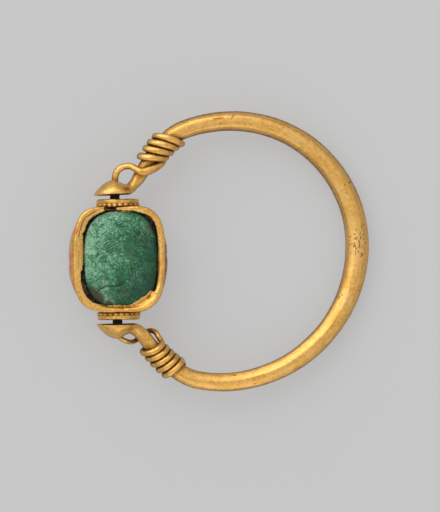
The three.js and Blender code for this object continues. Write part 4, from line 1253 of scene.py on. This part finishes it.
CHIP_LEVELS = (0.75, 1.3)  # the ripples are a chip's slope between these
WEAR_POWER = 8  # towards the edge wear fades with this power of the share
# Unevenness: height, wavelength and seed of each layer of ripples
CRACK_WANDER = [(0.012, 0.7 * MM, 80)]
FACE_CHIPS = [(1, 0.9 * MM, 82)]
FACE_WEAR = [(0.014 * MM, 2.6 * MM, 83), (0.005 * MM, 0.6 * MM, 84)]
BACK_WEAR = [(0.02 * MM, 1.8 * MM, 85)]
BACK_WORN_OFF = 0.03 * MM  # the back is worn down by this, which keeps it off the table
CRACK_DEPTH = 0.04 * MM
CHIP_DEPTH = 0.07 * MM
CARVING_DEPTH = 0.15 * MM
LEG_HEIGHT_SHARE = 0.028
# The legs on one side: polar angle of each in degrees, and how it slants over the plinth
LEGS = ((48, 16), (12, -14), (-34, -22))
LEG_WIDTH = 5
LEG_RISE = (0.62, 0.8)  # shares of the way down between which the legs rise from the plinth
LEG_END = (0.9, 1)  # and end
# The beetle, as shares of the stone's half width and half length. Ovals: middle, half axes, width of the line
# as a share of them, and its depth as a share of the deepest
HEAD = (0.86, 0.46, 0.3, 0.09, 0.8)
PLATE = (0.93, 0.3, 0.18, 0.14, 0.6)
WING_RIM = (0, 0.8, 0.8, 0.0275, 0.55)
# The line behind the thorax: its middle, how it curves, its width and its depth
THORAX = (0.24, 0.12, 0.03, 0.9)
# Lines along the wing cases: how far from the middle, width and depth
SEAM = (0.022, 0.02, 1)
WING_LINE = (0.28, 0.014, 0.28)
WING_LINE_BEGINS = (-0.06, -0.02)  # behind the thorax
WING_LINE_ENDS = (-0.72, -0.6)
WING_EDGE = (0.86, 0.91)  # shares of the outline between which the carving ends
# What crack, dirt, scratches, olive cast and veins are on the stone's side and on its back, where the dirt
# lies in the carved lines
MARKS_ELSEWHERE = ((0, 0), (0.6, 0), (0, 0), (0.5, 0), (0.3, 0.3))


def square_grid(steps):
    """Share of the outline and polar angle over a square grid, so that each square ring of the grid becomes
    one outline. Along a ring the angle grows evenly."""
    u, v = np.meshgrid(np.linspace(-1, 1, steps), np.linspace(-1, 1, steps), indexing="ij")
    ring = np.maximum(np.abs(u), np.abs(v))
    safe = np.where(ring > 0, ring, 1)
    quarter = np.pi / 4
    turn = np.where(
        np.abs(u) >= np.abs(v),
        quarter * v / safe * np.sign(u) + np.where(u < 0, np.pi, 0),
        2 * quarter - quarter * u / safe * np.sign(v) + np.where(v < 0, np.pi, 0),
    )
    return ring, turn


def beetle_marks(p, q):
    """Depth of the beetle's carved lines at shares of the half width and half length: the head, its plate and
    the rim of the wing cases as ellipses, the line behind the thorax as a parabola, the seam of the wing
    cases as two strokes, and a faint line down each wing case."""
    middle, curve, width, depth = THORAX
    past_thorax = q - (middle + curve * p ** 2)
    on_wings = step_down(past_thorax, -width, 0)
    down_wings = step_down(past_thorax, *WING_LINE_BEGINS) * step_up(q, *WING_LINE_ENDS)
    lines = [depth * groove(past_thorax, width)]
    for (middle, half_wide, half_long, width, depth), where in ((HEAD, 1), (PLATE, 1), (WING_RIM, on_wings)):
        lines.append(depth * groove(np.hypot(p / half_wide, (q - middle) / half_long) - 1, width) * where)
    for (off, width, depth), where in ((SEAM, on_wings), (WING_LINE, down_wings)):
        strokes = groove(p - off, width) + groove(p + off, width)
        lines.append(depth * np.minimum(strokes, 1) * where)
    return np.maximum.reduce(lines)


def leg_marks(turn, down):
    """Height of the six legs along the plinth, at polar angles and shares of the way down to the plinth:
    three slanting ridges on each side, bell curves of the angle."""
    degrees = np.degrees(turn) % 360
    height = np.zeros_like(degrees)
    for at, slant in LEGS:
        for middle, lean in ((at, slant), (180 - at, -slant)):
            away = (degrees - middle - lean * (down - 0.5) + 180) % 360 - 180
            height = np.maximum(height, groove(away, LEG_WIDTH))
    return height


def patches(at, shares):
    """Bell curves round some places, each with its reach, at shares of the half width and half length."""
    return np.maximum.reduce([groove(np.linalg.norm(at - (p, q), axis=-1), reach) for p, q, reach in shares])


def lay_stone(bezel, x, y, z):
    """Places on the stone, shifted from its own middle to where it lies in its setting."""
    return np.stack([bezel.offset + bezel.stone_side_shift + x, bezel.stone_end_shift + y, z], -1)


def stone_face(bezel, ring, x, y):
    """Places over the sealing face and its marks by name. It falls towards its edge, with a crack, chips and
    worn hollows."""
    flat = np.stack([x, y, 0 * x], -1)
    at = np.stack([x / bezel.stone_half_width, y / bezel.stone_half_length], -1)
    wander = unevenness(flat, CRACK_WANDER)
    crack = SPOT_DARKNESS * groove(np.linalg.norm(at - SPOT_SHARES, axis=-1) + wander, SPOT_WIDTH)
    for start, end in zip(np.array(CRACK_SHARES), np.array(CRACK_SHARES)[1:]):
        off = off_stroke(at, start, end)
        crack = np.maximum(crack, groove(np.hypot(off[..., 0], off[..., 1] + wander), CRACK_WIDTH))
    chips = step_up(unevenness(flat, FACE_CHIPS), *CHIP_LEVELS) * step_up(ring, *CHIPPED)
    worn = unevenness(flat, FACE_WEAR) * (1 - ring ** WEAR_POWER)
    lost = CRACK_DEPTH * crack + CHIP_DEPTH * chips - worn
    height = bezel.face_height - bezel.margin_drop * face_drop_share(ring) - lost
    marks = {
        "crack": crack,
        "dirt": np.maximum(patches(at, DIRT_SHARES), MARGIN_DIRT_SHARE * step_up(ring, *MARGIN_DIRT)),
        "scored": patches(at, SCORED_SHARES),
        "olive": patches(at, OLIVE_SHARES),
        "veined": patches(at, VEINED_SHARES),
    }
    return lay_stone(bezel, x, y, height), marks


def stone_back(bezel, ring, x, y):
    """Places over the beetle's back, and how deep it is carved there. The dome follows its own profile, and
    no point lies deeper than its top."""
    shares, depths = np.array(DOME_SHARES).T
    fine = np.linspace(0, shares[-1], DOME_STEPS)
    at = ring * shares[-1]
    profile = np.interp(at, fine, run_through(depths[:, None], fine, shares)[:, 0])
    x, y = x * at, y * at
    carved = beetle_marks(x / bezel.stone_half_width, y / bezel.stone_half_length) * step_down(at, *WING_EDGE)
    wear = unevenness(np.stack([x, y, 0 * x], -1), BACK_WEAR) - BACK_WORN_OFF
    wear *= 1 - ring ** WEAR_POWER
    depth = mix(bezel.plinth_depth, bezel.back_depth, profile) - CARVING_DEPTH * carved + wear
    return lay_stone(bezel, x, y, -np.minimum(depth, bezel.back_depth)), carved


def stone_side(bezel, top, foot, turn):
    """Rings from the face's edge down the plinth, in to the legs and out to the dome's foot."""
    narrowest, down = LEGS_SHARE
    rows = np.array([
        [1, top], *([share_out, -depth * bezel.plinth_depth] for share_out, depth in PLINTH_SHARES),
        [narrowest, -mix(bezel.plinth_depth, bezel.back_depth, down)], [DOME_SHARES[-1][0], foot],
    ])
    way = distances(rows * [bezel.stone_half_width, 1])
    inner = run_through(rows, np.linspace(0, way[-1], SIDE_STATIONS)[1:-1], way)
    x, y = outline(turn, bezel.stone_half_width, bezel.stone_half_length, bezel.stone_squareness)
    share_down = np.linspace(0, 1, len(inner))[:, None]
    legs = leg_marks(turn[None], share_down)
    legs *= step_up(share_down, *LEG_RISE) * step_down(share_down, *LEG_END)
    reach = inner[:, :1] + LEG_HEIGHT_SHARE * legs
    return lay_stone(bezel, x * reach, y * reach, inner[:, 1:] + 0 * x)


class RING_OT_stone(bpy.types.Operator):
    """Add the green stone: blank face in front, beetle behind"""

    bl_idname = "ring.stone"
    bl_label = "Scarab stone"

    def execute(self, context):
        """Two square grids, bent to the stone's superellipse outlines, make the face and the back, and rings
        between their edges make the side."""
        scene = context.scene
        bezel = scene.ring_bezel
        ring, turn = square_grid(FACE_STEPS)
        x, y = outline(turn, bezel.stone_half_width, bezel.stone_half_length, bezel.stone_squareness)
        face, face_marks = stone_face(bezel, ring, x * ring, y * ring)
        back, carved = stone_back(bezel, ring, x, y)
        number = np.arange(FACE_STEPS ** 2).reshape(FACE_STEPS, FACE_STEPS)
        edge = np.concatenate([number[:-1, 0], number[-1, :-1], number[:0:-1, -1], number[0, :0:-1]])
        face, back = face.reshape(-1, 3), back.reshape(-1, 3)
        side = stone_side(bezel, face[edge[0], 2], back[edge, 2].mean(), turn.ravel()[edge])
        belt = number.size + np.arange(side[..., 0].size).reshape(-1, len(edge))
        belts = np.vstack([edge, belt, edge + number.size + belt.size])
        beside = np.roll(belts, -1, 1)
        wall = np.stack([belts[:-1], belts[1:], beside[1:], beside[:-1]], -1).reshape(-1, 4)
        cells = np.stack([number[:-1, :-1], number[1:, :-1], number[1:, 1:], number[:-1, 1:]], -1)
        cells = cells.reshape(-1, 4)
        quads = np.vstack([cells, wall, cells[:, ::-1] + number.size + belt.size])
        marks = {
            name: np.concatenate([
                on_face.ravel(), np.full(belt.size, on_side), np.full(number.size, on_back),
            ])
            for (name, on_face), (on_side, on_back) in zip(face_marks.items(), MARKS_ELSEWHERE)
        }
        marks["dirt"][-number.size:] = carved.ravel()
        points = np.vstack([face, side.reshape(-1, 3), back])
        piece = put_mesh("green_scarab", set_down(points, bezel.turn), quads, marks=marks)
        reach = bezel.stone_half_length + MM
        drill(piece, bezel.turn, -reach, reach)
        dress(piece, mottled_stone(scene.ring_colours), "bezel", "scarab_stone")
        return {"FINISHED"}


# Materials

def feed(node, inputs):
    """Sets or links a node's inputs, which are given by name or, as a list, in the order of those in use. An
    input is a value, a colour without its opacity, an output, or a node, whose first output in use is taken.
    None leaves an input as it is."""
    if isinstance(inputs, dict):
        pairs = [(node.inputs[name], value) for name, value in inputs.items()]
    else:
        pairs = zip([socket for socket in node.inputs if socket.enabled], inputs)
    for socket, value in pairs:
        if isinstance(value, bpy.types.Node):
            value = next(output for output in value.outputs if output.enabled)
        if isinstance(value, bpy.types.NodeSocket):
            node.id_data.links.new(value, socket)
        elif value is not None:
            socket.default_value = (*value, 1) if socket.type == "RGBA" else value


def add_node(tree, kind, inputs=(), stops=(), **settings):
    """Adds a node of a kind, with its settings, its inputs as feed takes them, and its colour ramp's stops.
    Four numbers that follow a pattern are its low and high, and what they become."""
    made = tree.nodes.new("ShaderNode" + kind)
    for name, value in settings.items():
        setattr(made, name, value)
    feed(made, inputs)
    for i, (place, value) in enumerate(stops):
        elements = made.color_ramp.elements
        element = elements[i] if i < len(elements) else elements.new(1)
        element.position = place
        element.color = (*value, 1)
    return made


def new_material(name, **fixed):
    """A material, the function that adds nodes to it, and its shader with the fixed values on its sockets."""
    material = bpy.data.materials.new(name)
    material.use_nodes = True
    shader = material.node_tree.nodes["Principled BSDF"]
    feed(shader, {socket.replace("_", " "): value for socket, value in fixed.items()})
    return material, partial(add_node, material.node_tree), shader


def weighted_sum(add, level, *terms):
    """A level and, added to it one after another, patterns times their weights."""
    for pattern, weight in terms:
        level = add("Math", [pattern, weight, level], operation="MULTIPLY_ADD")
    return level


def cover(add, body, coats):
    """A body colour with coats laid over it one after another, each a pattern, where it begins to show, where
    it is full, how much it hides there, and its colour."""
    for pattern, start, full, most, colour_over in coats:
        amount = add("MapRange", [pattern, start, full, 0, most])
        body = add("Mix", [amount, body, colour_over], data_type="RGBA")
    return body


def finish_surface(add, shader, bumps, **inputs):
    """Links what a material has worked out to its shader, with bumps laid over one another, each a height, a
    strength and a depth."""
    normal = None
    for height, strength, depth in bumps:
        normal = add("Bump", {"Strength": strength, "Distance": depth, "Height": height, "Normal": normal})
    feed(shader, {**{socket.replace("_", " "): value for socket, value in inputs.items()}, "Normal": normal})


# Noise in the gold: size of its features, detail and roughness
GOLD_CLOUDS = (1.6 * MM, 4, 0.6)
GOLD_PITS = (0.13 * MM, 3, 0.8)
GOLD_HOLES = (0.5 * MM, 1, 0.5)
GOLD_SOIL = (0.4 * MM, 5, 0.7)
GOLD_GRAIN = (6, 0.72)  # its size is each piece's own
# The same for drawn and hammered metal, with the size twice across it and once along it
GOLD_STREAKS = ((0.26 * MM, 0.26 * MM, 3.6 * MM), 5, 0.7)
GOLD_CHIPS = ((0.2 * MM, 0.2 * MM, 0.42 * MM), 3, 0.7)
STREAK_WEIGHT = 0.4
GOLD_LEVEL = -0.725  # what the tone is lowered by, so that the even parts are the warm gold
CREVICE_REACH = 0.6 * MM  # dirt stays where another surface is nearer than this
CREVICE_SHADE_EDGES = (0.4, 0.8)  # ambient occlusion reaches this far: where another surface is nearer, dirt and painted shade darken the gold
STAIN_COVER = (0.15, 0.75, 0.92)  # where a stain begins, where it is full, and how much it hides


def worked_gold(name, colours, grain, streaks=0.0, grime_and_shade=0.85, stains=False):
    """Native gold, hammered and drawn, then buried, with fine pits and soft scratches. Ambient occlusion
    paints it paler on what stands proud and deeper in tone between, painted highlight and painted shade, and
    lays brown in its crevices, dirt and painted shade together. A brown film is painted as shade on its
    sides, in the rim's notch, in the foil's folds and between the beads, and darkens the nicks and the line
    where the wall meets the rim; the worn place is painted pale, a painted glint. Its sheen is satin, not a
    mirror's, and where dirt, the film or red earth lies on it the metal's gleam is gone. The pits and streaks
    are drawn as coarse as they need to be to show."""
    material, add, shader = new_material(name)
    place = add("TexCoord").outputs["Object"]
    clouds, grains, pits, holes = (
        add("TexNoise", {"Vector": place, "Scale": 1 / size, "Detail": detail, "Roughness": roughness})
        for size, detail, roughness in (GOLD_CLOUDS, (grain, *GOLD_GRAIN), GOLD_PITS, GOLD_HOLES)
    )
    # Ambient occlusion lifts the tone where the gold stands open, a painted highlight, and lowers it in
    # hollows, a painted shade
    hidden = add("AmbientOcclusion", {"Distance": CREVICE_REACH}, samples=12).outputs["AO"]
    shades = [(pits, 0.35), (grains, 0.5), (clouds, 0.25), (hidden, 0.7)]
    bumps = [(grains, 0.6, 0.022 * MM), (pits, 0.5, 0.012 * MM)]
    filled = add("MapRange", [holes, 0.72, 0.77, 0, 0.7])
    scuff_glint = []
    if streaks:
        unbent = add("Attribute", attribute_name="unbent").outputs["Vector"]
        lines, chips = (
            add("TexNoise", {
                "Vector": add("Mapping", {"Vector": unbent, "Scale": [1 / side for side in sides]}),
                "Scale": 1, "Detail": detail, "Roughness": roughness,
            })
            for sides, detail, roughness in (GOLD_STREAKS, GOLD_CHIPS)
        )
        scuff = add("Attribute", attribute_name="scuff").outputs["Fac"]
        chipped = add("MapRange", [weighted_sum(add, chips, (scuff, 0.3)), 0.8, 0.87, 0, 0.85])
        filled = add("Math", [filled, chipped], operation="MAXIMUM")
        shades.append((lines, STREAK_WEIGHT * streaks))
        bumps.append((lines, 0.5, 0.035 * MM))
        # The worn place is painted pale gold, a painted glint among its pits
        scuff_glint.append((scuff, 0, 1, 0.6, colours.gold_pale))
    tone = weighted_sum(add, GOLD_LEVEL - STREAK_WEIGHT * streaks / 2, *shades)
    body = add("ValToRGB", [tone], stops=[
        (0.3, colours.gold_deep), (0.48, colours.gold_warm), (0.62, colours.gold_pale)
    ])
    # The brown film: painted shade on sides, notch, folds and bead valleys, a dark line at the rim's joint,
    # and the dark of the nicks
    shade_and_marks = add("Attribute", attribute_name="shade_and_marks").outputs["Fac"]
    film = add("Math", [shade_and_marks, add("MapRange", [grains, 0.35, 0.62, 0.25, 0.92])], operation="MULTIPLY")
    # Crevices that the ambient occlusion finds are painted brown, as dirt and painted shade
    dirt_and_shade = add("MapRange", [weighted_sum(add, hidden, (grains, 0.3)), *CREVICE_SHADE_EDGES, grime_and_shade, 0])
    dull = add("Math", [film, dirt_and_shade], operation="MAXIMUM")
    residues = []
    if stains:
        size, detail, roughness = GOLD_SOIL
        soil_and_shade = add("TexNoise", {"Vector": place, "Scale": 1 / size, "Detail": detail, "Roughness": roughness})
        patchy = weighted_sum(add, -1, (soil_and_shade, 3.6))
        for mark in ("tarnish", "red_earth"):
            lying = add("Attribute", attribute_name=mark).outputs["Fac"]
            stain = add("Math", [lying, patchy], operation="MULTIPLY")
            residues.append((stain, *STAIN_COVER, getattr(colours, mark)))
        start, full, most = STAIN_COVER
        dull = add("Math", [dull, add("MapRange", [stain, start, full, 0, most])], operation="MAXIMUM")
    body = cover(add, body, [
        (film, 0, 1, 1, colours.soil_and_shade), *scuff_glint, (filled, 0, 1, 1, colours.grime_and_shade), *residues,
        (dirt_and_shade, 0, 1, 1, colours.grime_and_shade),
    ])
    metal = add("Math", [1, dull], operation="SUBTRACT", use_clamp=True)
    satin = add("MapRange", [grains, 0.3, 0.7, 0.31, 0.45])
    rough = weighted_sum(add, satin, (dirt_and_shade, 0.3))
    finish_surface(add, shader, bumps, Base_Color=body, Metallic=metal, Roughness=rough)
    return material


BRONZE_CRUST = 0.3 * MM
BRONZE_SHADES = (0.5, 2.2)  # between the crust and on it, times the bronze's colour
MASTIC_CRUMB = 0.4 * MM
MASTIC_SHADES = (0.6, 14)  # resin and crumbs, times the mastic's colour


def corroded_bronze(colours):
    """Bronze under a thick dark patina, dull and crusted."""
    material, add, shader = new_material("corroded_bronze", Metallic=0.35)
    place = add("TexCoord").outputs["Object"]
    crust = add("TexNoise", {"Vector": place, "Scale": 1 / BRONZE_CRUST, "Detail": 6, "Roughness": 0.7})
    thin, thick = ([part * shade for part in colours.bronze] for shade in BRONZE_SHADES)
    body = add("ValToRGB", [crust], stops=[(0.35, thin), (0.7, thick)])
    rough = add("MapRange", [crust, 0.3, 0.7, 0.45, 0.7])
    finish_surface(add, shader, [(crust, 0.6, 0.04 * MM)], Base_Color=body, Roughness=rough)
    return material


def dark_mastic(colours):
    """Aged resin filling: nearly black, dull, with brown crumbs."""
    material, add, shader = new_material("dark_mastic", Roughness=0.8)
    place = add("TexCoord").outputs["Object"]
    crumbs = add("TexNoise", {"Vector": place, "Scale": 1 / MASTIC_CRUMB, "Detail": 7, "Roughness": 0.75})
    resin, crumb = ([part * shade for part in colours.mastic] for shade in MASTIC_SHADES)
    body = add("ValToRGB", [crumbs], stops=[(0.48, resin), (0.62, crumb)])
    finish_surface(add, shader, [(crumbs, 0.8, 0.06 * MM)], Base_Color=body)
    return material


# Noise in the stone: size of its features, detail, roughness, distortion and kind
STONE_NOISES = {
    "clouds": (2.6 * MM, 3, 0.5, 0, "FBM"),
    "mottle": (0.7 * MM, 8, 0.72, 0.8, "FBM"),
    "specks": (0.2 * MM, 4, 0.75, 0.5, "FBM"),
    "veins": (0.7 * MM, 5, 0.6, 0.9, "RIDGED_MULTIFRACTAL"),
    "net": (0.5 * MM, 3, 0.5, 0.8, "FBM"),
    "olive": (0.45 * MM, 6, 0.8, 0, "FBM"),
    "teal": (1.7 * MM, 4, 0.6, 0, "FBM"),
    "crumbs": (0.14 * MM, 3, 0.8, 0, "FBM"),
}
STONE_LEVEL = -0.845  # what the tone is lowered by, so that the middle of the face is the deep green
PAINTED_LIGHT_WAY = (-60, 24, 0)  # painted light: the stone is painted paler this way, towards the upper left, by so much for each metre
# Scratches: arcs round a far centre, their spacing, the length over which they come and go, and their way
SCORE_CENTRE = (5.5 * MM, -9 * MM, 0)
SCORE_SPACING = 0.25 * MM
SCORE_LENGTH = 1.6 * MM
SCORE_WAY = (0.77, 0.64, 0)
SCORE_WOBBLE = 4  # radians of the wave for a whole step of the mottle


def mottled_stone(colours):
    """Green jasper, once polished: cloudy pale and dark greens broken into fine specks, with thin pale veins,
    olive and blue-green in places, scored by close parallel scratches, and brown dirt in its margin and its
    carved lines. It is painted paler towards the upper left, a painted light. The specks and scratches are
    drawn as coarse as they need to be to show."""
    material, add, shader = new_material("green_jasper", IOR=1.54, Specular_IOR_Level=0.25)
    place = add("TexCoord").outputs["Object"]
    noise = SimpleNamespace(**{
        name: add("TexNoise", {
            "Vector": place, "Scale": 1 / size, "Detail": detail, "Roughness": roughness,
            "Distortion": distortion,
        }, noise_type=kind)
        for name, (size, detail, roughness, distortion, kind) in STONE_NOISES.items()
    })
    marks = SimpleNamespace(**{
        name: add("Attribute", attribute_name=name).outputs["Fac"]
        for name in ("crack", "dirt", "scored", "olive", "veined")
    })
    # Painted light: the tone rises towards the upper left, as if lit from there
    across = add("VectorMath", [place, tuple(PIN)], operation="SUBTRACT")
    towards = add("VectorMath", [across, PAINTED_LIGHT_WAY], operation="DOT_PRODUCT")
    tone = weighted_sum(
        add, STONE_LEVEL, (towards, 1), (noise.clouds, 0.6), (noise.mottle, 0.9), (noise.specks, 1.15)
    )
    body = add("ValToRGB", [tone], stops=[
        (0.26, colours.stone_dark), (0.42, colours.stone_deep), (0.56, colours.stone_green),
        (0.69, colours.stone_light), (0.92, colours.stone_pale),
    ])
    off_middle = add("Math", [weighted_sum(add, -0.5, (noise.net, 1))], operation="ABSOLUTE")
    thread = add("MapRange", [off_middle, 0.045, 0.004, 0, 1])
    veins, net, olive = (
        add("Math", pair, operation="MULTIPLY")
        for pair in ((noise.veins, noise.mottle), (thread, marks.veined), (marks.olive, noise.olive))
    )
    scored = scratches(add, place, noise.mottle, marks.scored)
    soil_and_shade = add("ValToRGB", [noise.crumbs], stops=[
        (0.38, colours.mastic), (0.5, colours.stone_dirt), (0.68, [part * 2 for part in colours.stone_dirt]),
    ])
    dirt_and_shade = weighted_sum(add, -1.3, (marks.dirt, 1.1), (noise.specks, 1.3), (noise.crumbs, 0.9))
    cracked = weighted_sum(add, -0.95, (marks.crack, 1.1), (noise.specks, 1.5))
    body = cover(add, body, [
        (veins, 0.42, 0.8, 0.5, colours.stone_pale),
        (net, 0, 1, 0.5, colours.stone_light),
        (olive, 0.3, 0.62, 0.4, colours.stone_olive),
        (noise.teal, 0.5, 0.68, 0.22, colours.stone_teal),
        (scored, 0.1, 0.9, 0.42, colours.stone_pale),
        (dirt_and_shade, 0.35, 0.6, 0.95, soil_and_shade),
        (cracked, 0.3, 0.75, 0.9, colours.mastic),
    ])
    rough = add("MapRange", [noise.specks, 0.3, 0.7, 0.42, 0.6])
    bumps = [(noise.mottle, 0.4, 0.03 * MM), (scored, 0.6, 0.03 * MM)]
    finish_surface(add, shader, bumps, Base_Color=body, Roughness=rough)
    return material


def scratches(add, place, wander, where):
    """Close arcs round a far centre: the crests of a sine of the distance from it, shaken a little, kept
    where a noise stretched along the arcs is high, and only where the stone is scored."""
    swept = add("VectorMath", [place, tuple(PIN + SCORE_CENTRE)], operation="SUBTRACT")
    out = add("VectorMath", [swept], operation="LENGTH")
    along = add("VectorMath", [swept, SCORE_WAY], operation="DOT_PRODUCT")
    drawn_out = add("Mapping", {
        "Vector": add("CombineXYZ", [out, along]), "Scale": (1 / SCORE_SPACING, 1 / SCORE_LENGTH, 1)
    })
    arcs = add("TexNoise", {"Vector": drawn_out, "Scale": 1, "Detail": 1, "Roughness": 0.5})
    phase = weighted_sum(add, 0, (wander, SCORE_WOBBLE), (out, 2 * math.pi / SCORE_SPACING))
    crests = add("MapRange", [add("Math", [phase], operation="SINE"), 0.3, 0.95, 0, 1])
    kept = add("MapRange", [arcs, 0.4, 0.56, 0, 1])
    for amount in (crests, kept):
        where = add("Math", [amount, where], operation="MULTIPLY")
    return where


def pale_ground(colours, glow):
    """Smooth matt board. Part of its paleness is its own, for the camera and for what gold mirrors of it, so
    that the ring's shadow on it stays faint."""
    ground, add, shader = new_material(
        "pale_board", Base_Color=colours.floor, Roughness=0.95, Specular_IOR_Level=0.1
    )
    path = add("LightPath").outputs
    seen = path["Is Camera Ray"]
    for ray in ("Is Glossy Ray", "Is Transmission Ray"):
        seen = add("Math", [seen, path[ray]], operation="MAXIMUM")
    part = add("Math", [seen, glow], operation="MULTIPLY")
    own = add("Emission", {"Color": colours.floor, "Strength": 1})
    feed(ground.node_tree.nodes["Material Output"], {"Surface": add("MixShader", [part, shader, own])})
    return ground


# Stage

KEY_PLACE = (-0.31, 0.53, 0.45)  # beyond the top of the view, a little to its left
FILL_PLACE = (0.05, -0.6, 0.3)
SENSOR_HEIGHT = 36  # in millimetres, as the lens is
FARTHEST = 10  # in metres: the camera sees as far as this
SKY_FULL_HEIGHT = 0.35  # sine of the height from which up the sky has its full strength


def add_lamp(name, size, watts, place, target):
    """A square soft lamp that looks at a target."""
    data = bpy.data.lights.new(name, "AREA")
    data.shape = "SQUARE"
    data.size = size
    data.energy = watts
    lamp = bpy.data.objects.new(name, data)
    bpy.context.scene.collection.objects.link(lamp)
    lamp.location = place
    aim = np.array(target) - np.array(place)
    lamp.rotation_euler = (
        math.atan2(math.hypot(aim[0], aim[1]), -aim[2]), 0, math.atan2(-aim[0], aim[1])
    )


def add_sky(scene, edge, top):
    """A white sky whose strength goes from the horizon's to the top's as a smooth step of the height."""
    world = bpy.data.worlds.new("soft_sky")
    scene.world = world
    world.use_nodes = True
    tree = world.node_tree
    direction = add_node(tree, "TexCoord").outputs["Generated"]
    height = add_node(tree, "SeparateXYZ", [direction]).outputs["Z"]
    strength = add_node(
        tree, "MapRange", [height, 0, SKY_FULL_HEIGHT, edge, top], interpolation_type="SMOOTHSTEP"
    )
    feed(tree.nodes["Background"], {"Color": (1, 1, 1), "Strength": strength})


class RING_OT_stage(bpy.types.Operator):
    """Add the floor, the lamps and the camera"""

    bl_idname = "ring.stage"
    bl_label = "Stage"

    def execute(self, context):
        """The camera looks straight down through a long lens, turned by the roll. One large soft lamp stands
        beyond the top of the view, and a weak one below it."""
        scene = context.scene
        stage = scene.ring_stage
        half, low = stage.floor_half, CAD_BOX[0][2]
        corners = [(-half, -half, low), (half, -half, low), (half, half, low), (-half, half, low)]
        mesh = bpy.data.meshes.new("pale_floor")
        mesh.from_pydata(corners, [], [(0, 1, 2, 3)])
        floor = bpy.data.objects.new("pale_floor", mesh)
        scene.collection.objects.link(floor)
        mesh.materials.append(pale_ground(scene.ring_colours, stage.floor_glow_share))
        middle = (stage.middle_x, stage.middle_y, PIN[2])
        data = bpy.data.cameras.new("camera")
        data.sensor_fit = "VERTICAL"
        data.sensor_height = SENSOR_HEIGHT
        data.lens = SENSOR_HEIGHT * stage.distance / stage.picture_height
        data.clip_end = FARTHEST
        data.dof.use_dof = False
        camera = bpy.data.objects.new("camera", data)
        scene.collection.objects.link(camera)
        camera.location = (middle[0], middle[1], middle[2] + stage.distance)
        camera.rotation_euler = (0, 0, -stage.roll)
        scene.camera = camera
        add_lamp("soft_key", stage.key_size, stage.key_power, KEY_PLACE, middle)
        add_lamp("low_fill", stage.fill_size, stage.fill_power, FILL_PLACE, middle)
        add_sky(scene, stage.sky_edge, stage.sky_top)
        scene.view_settings.view_transform = "Standard"
        return {"FINISHED"}


PIECES = (
    RING_OT_hoop, RING_OT_pin, RING_OT_binding_wires, RING_OT_collars, RING_OT_beaded_rings,
    RING_OT_bezel_frame, RING_OT_foil_lip, RING_OT_bedding, RING_OT_stone, RING_OT_stage,
)


class RING_PT_panel(bpy.types.Panel):
    """The ring's pieces and sizes"""

    bl_idname = "RING_PT_panel"
    bl_label = "Swivel Ring"
    bl_space_type = "VIEW_3D"
    bl_region_type = "UI"
    bl_category = "Swivel Ring"

    def draw(self, context):
        for piece in PIECES:
            self.layout.operator(piece.bl_idname)
        for name, group in GROUPS.items():
            box = self.layout.box()
            for size in group.__annotations__:
                box.prop(getattr(context.scene, name), size)


def register():
    for group in (*GROUPS.values(), *PIECES, RING_PT_panel):
        bpy.utils.register_class(group)
    for name, group in GROUPS.items():
        setattr(bpy.types.Scene, name, PointerProperty(type=group))


def unregister():
    for name in GROUPS:
        delattr(bpy.types.Scene, name)
    for group in reversed((*GROUPS.values(), *PIECES, RING_PT_panel)):
        bpy.utils.unregister_class(group)


def main():
    register()
    for piece in PIECES:
        getattr(bpy.ops.ring, piece.bl_idname.removeprefix("ring."))()


if __name__ == "__main__":
    main()
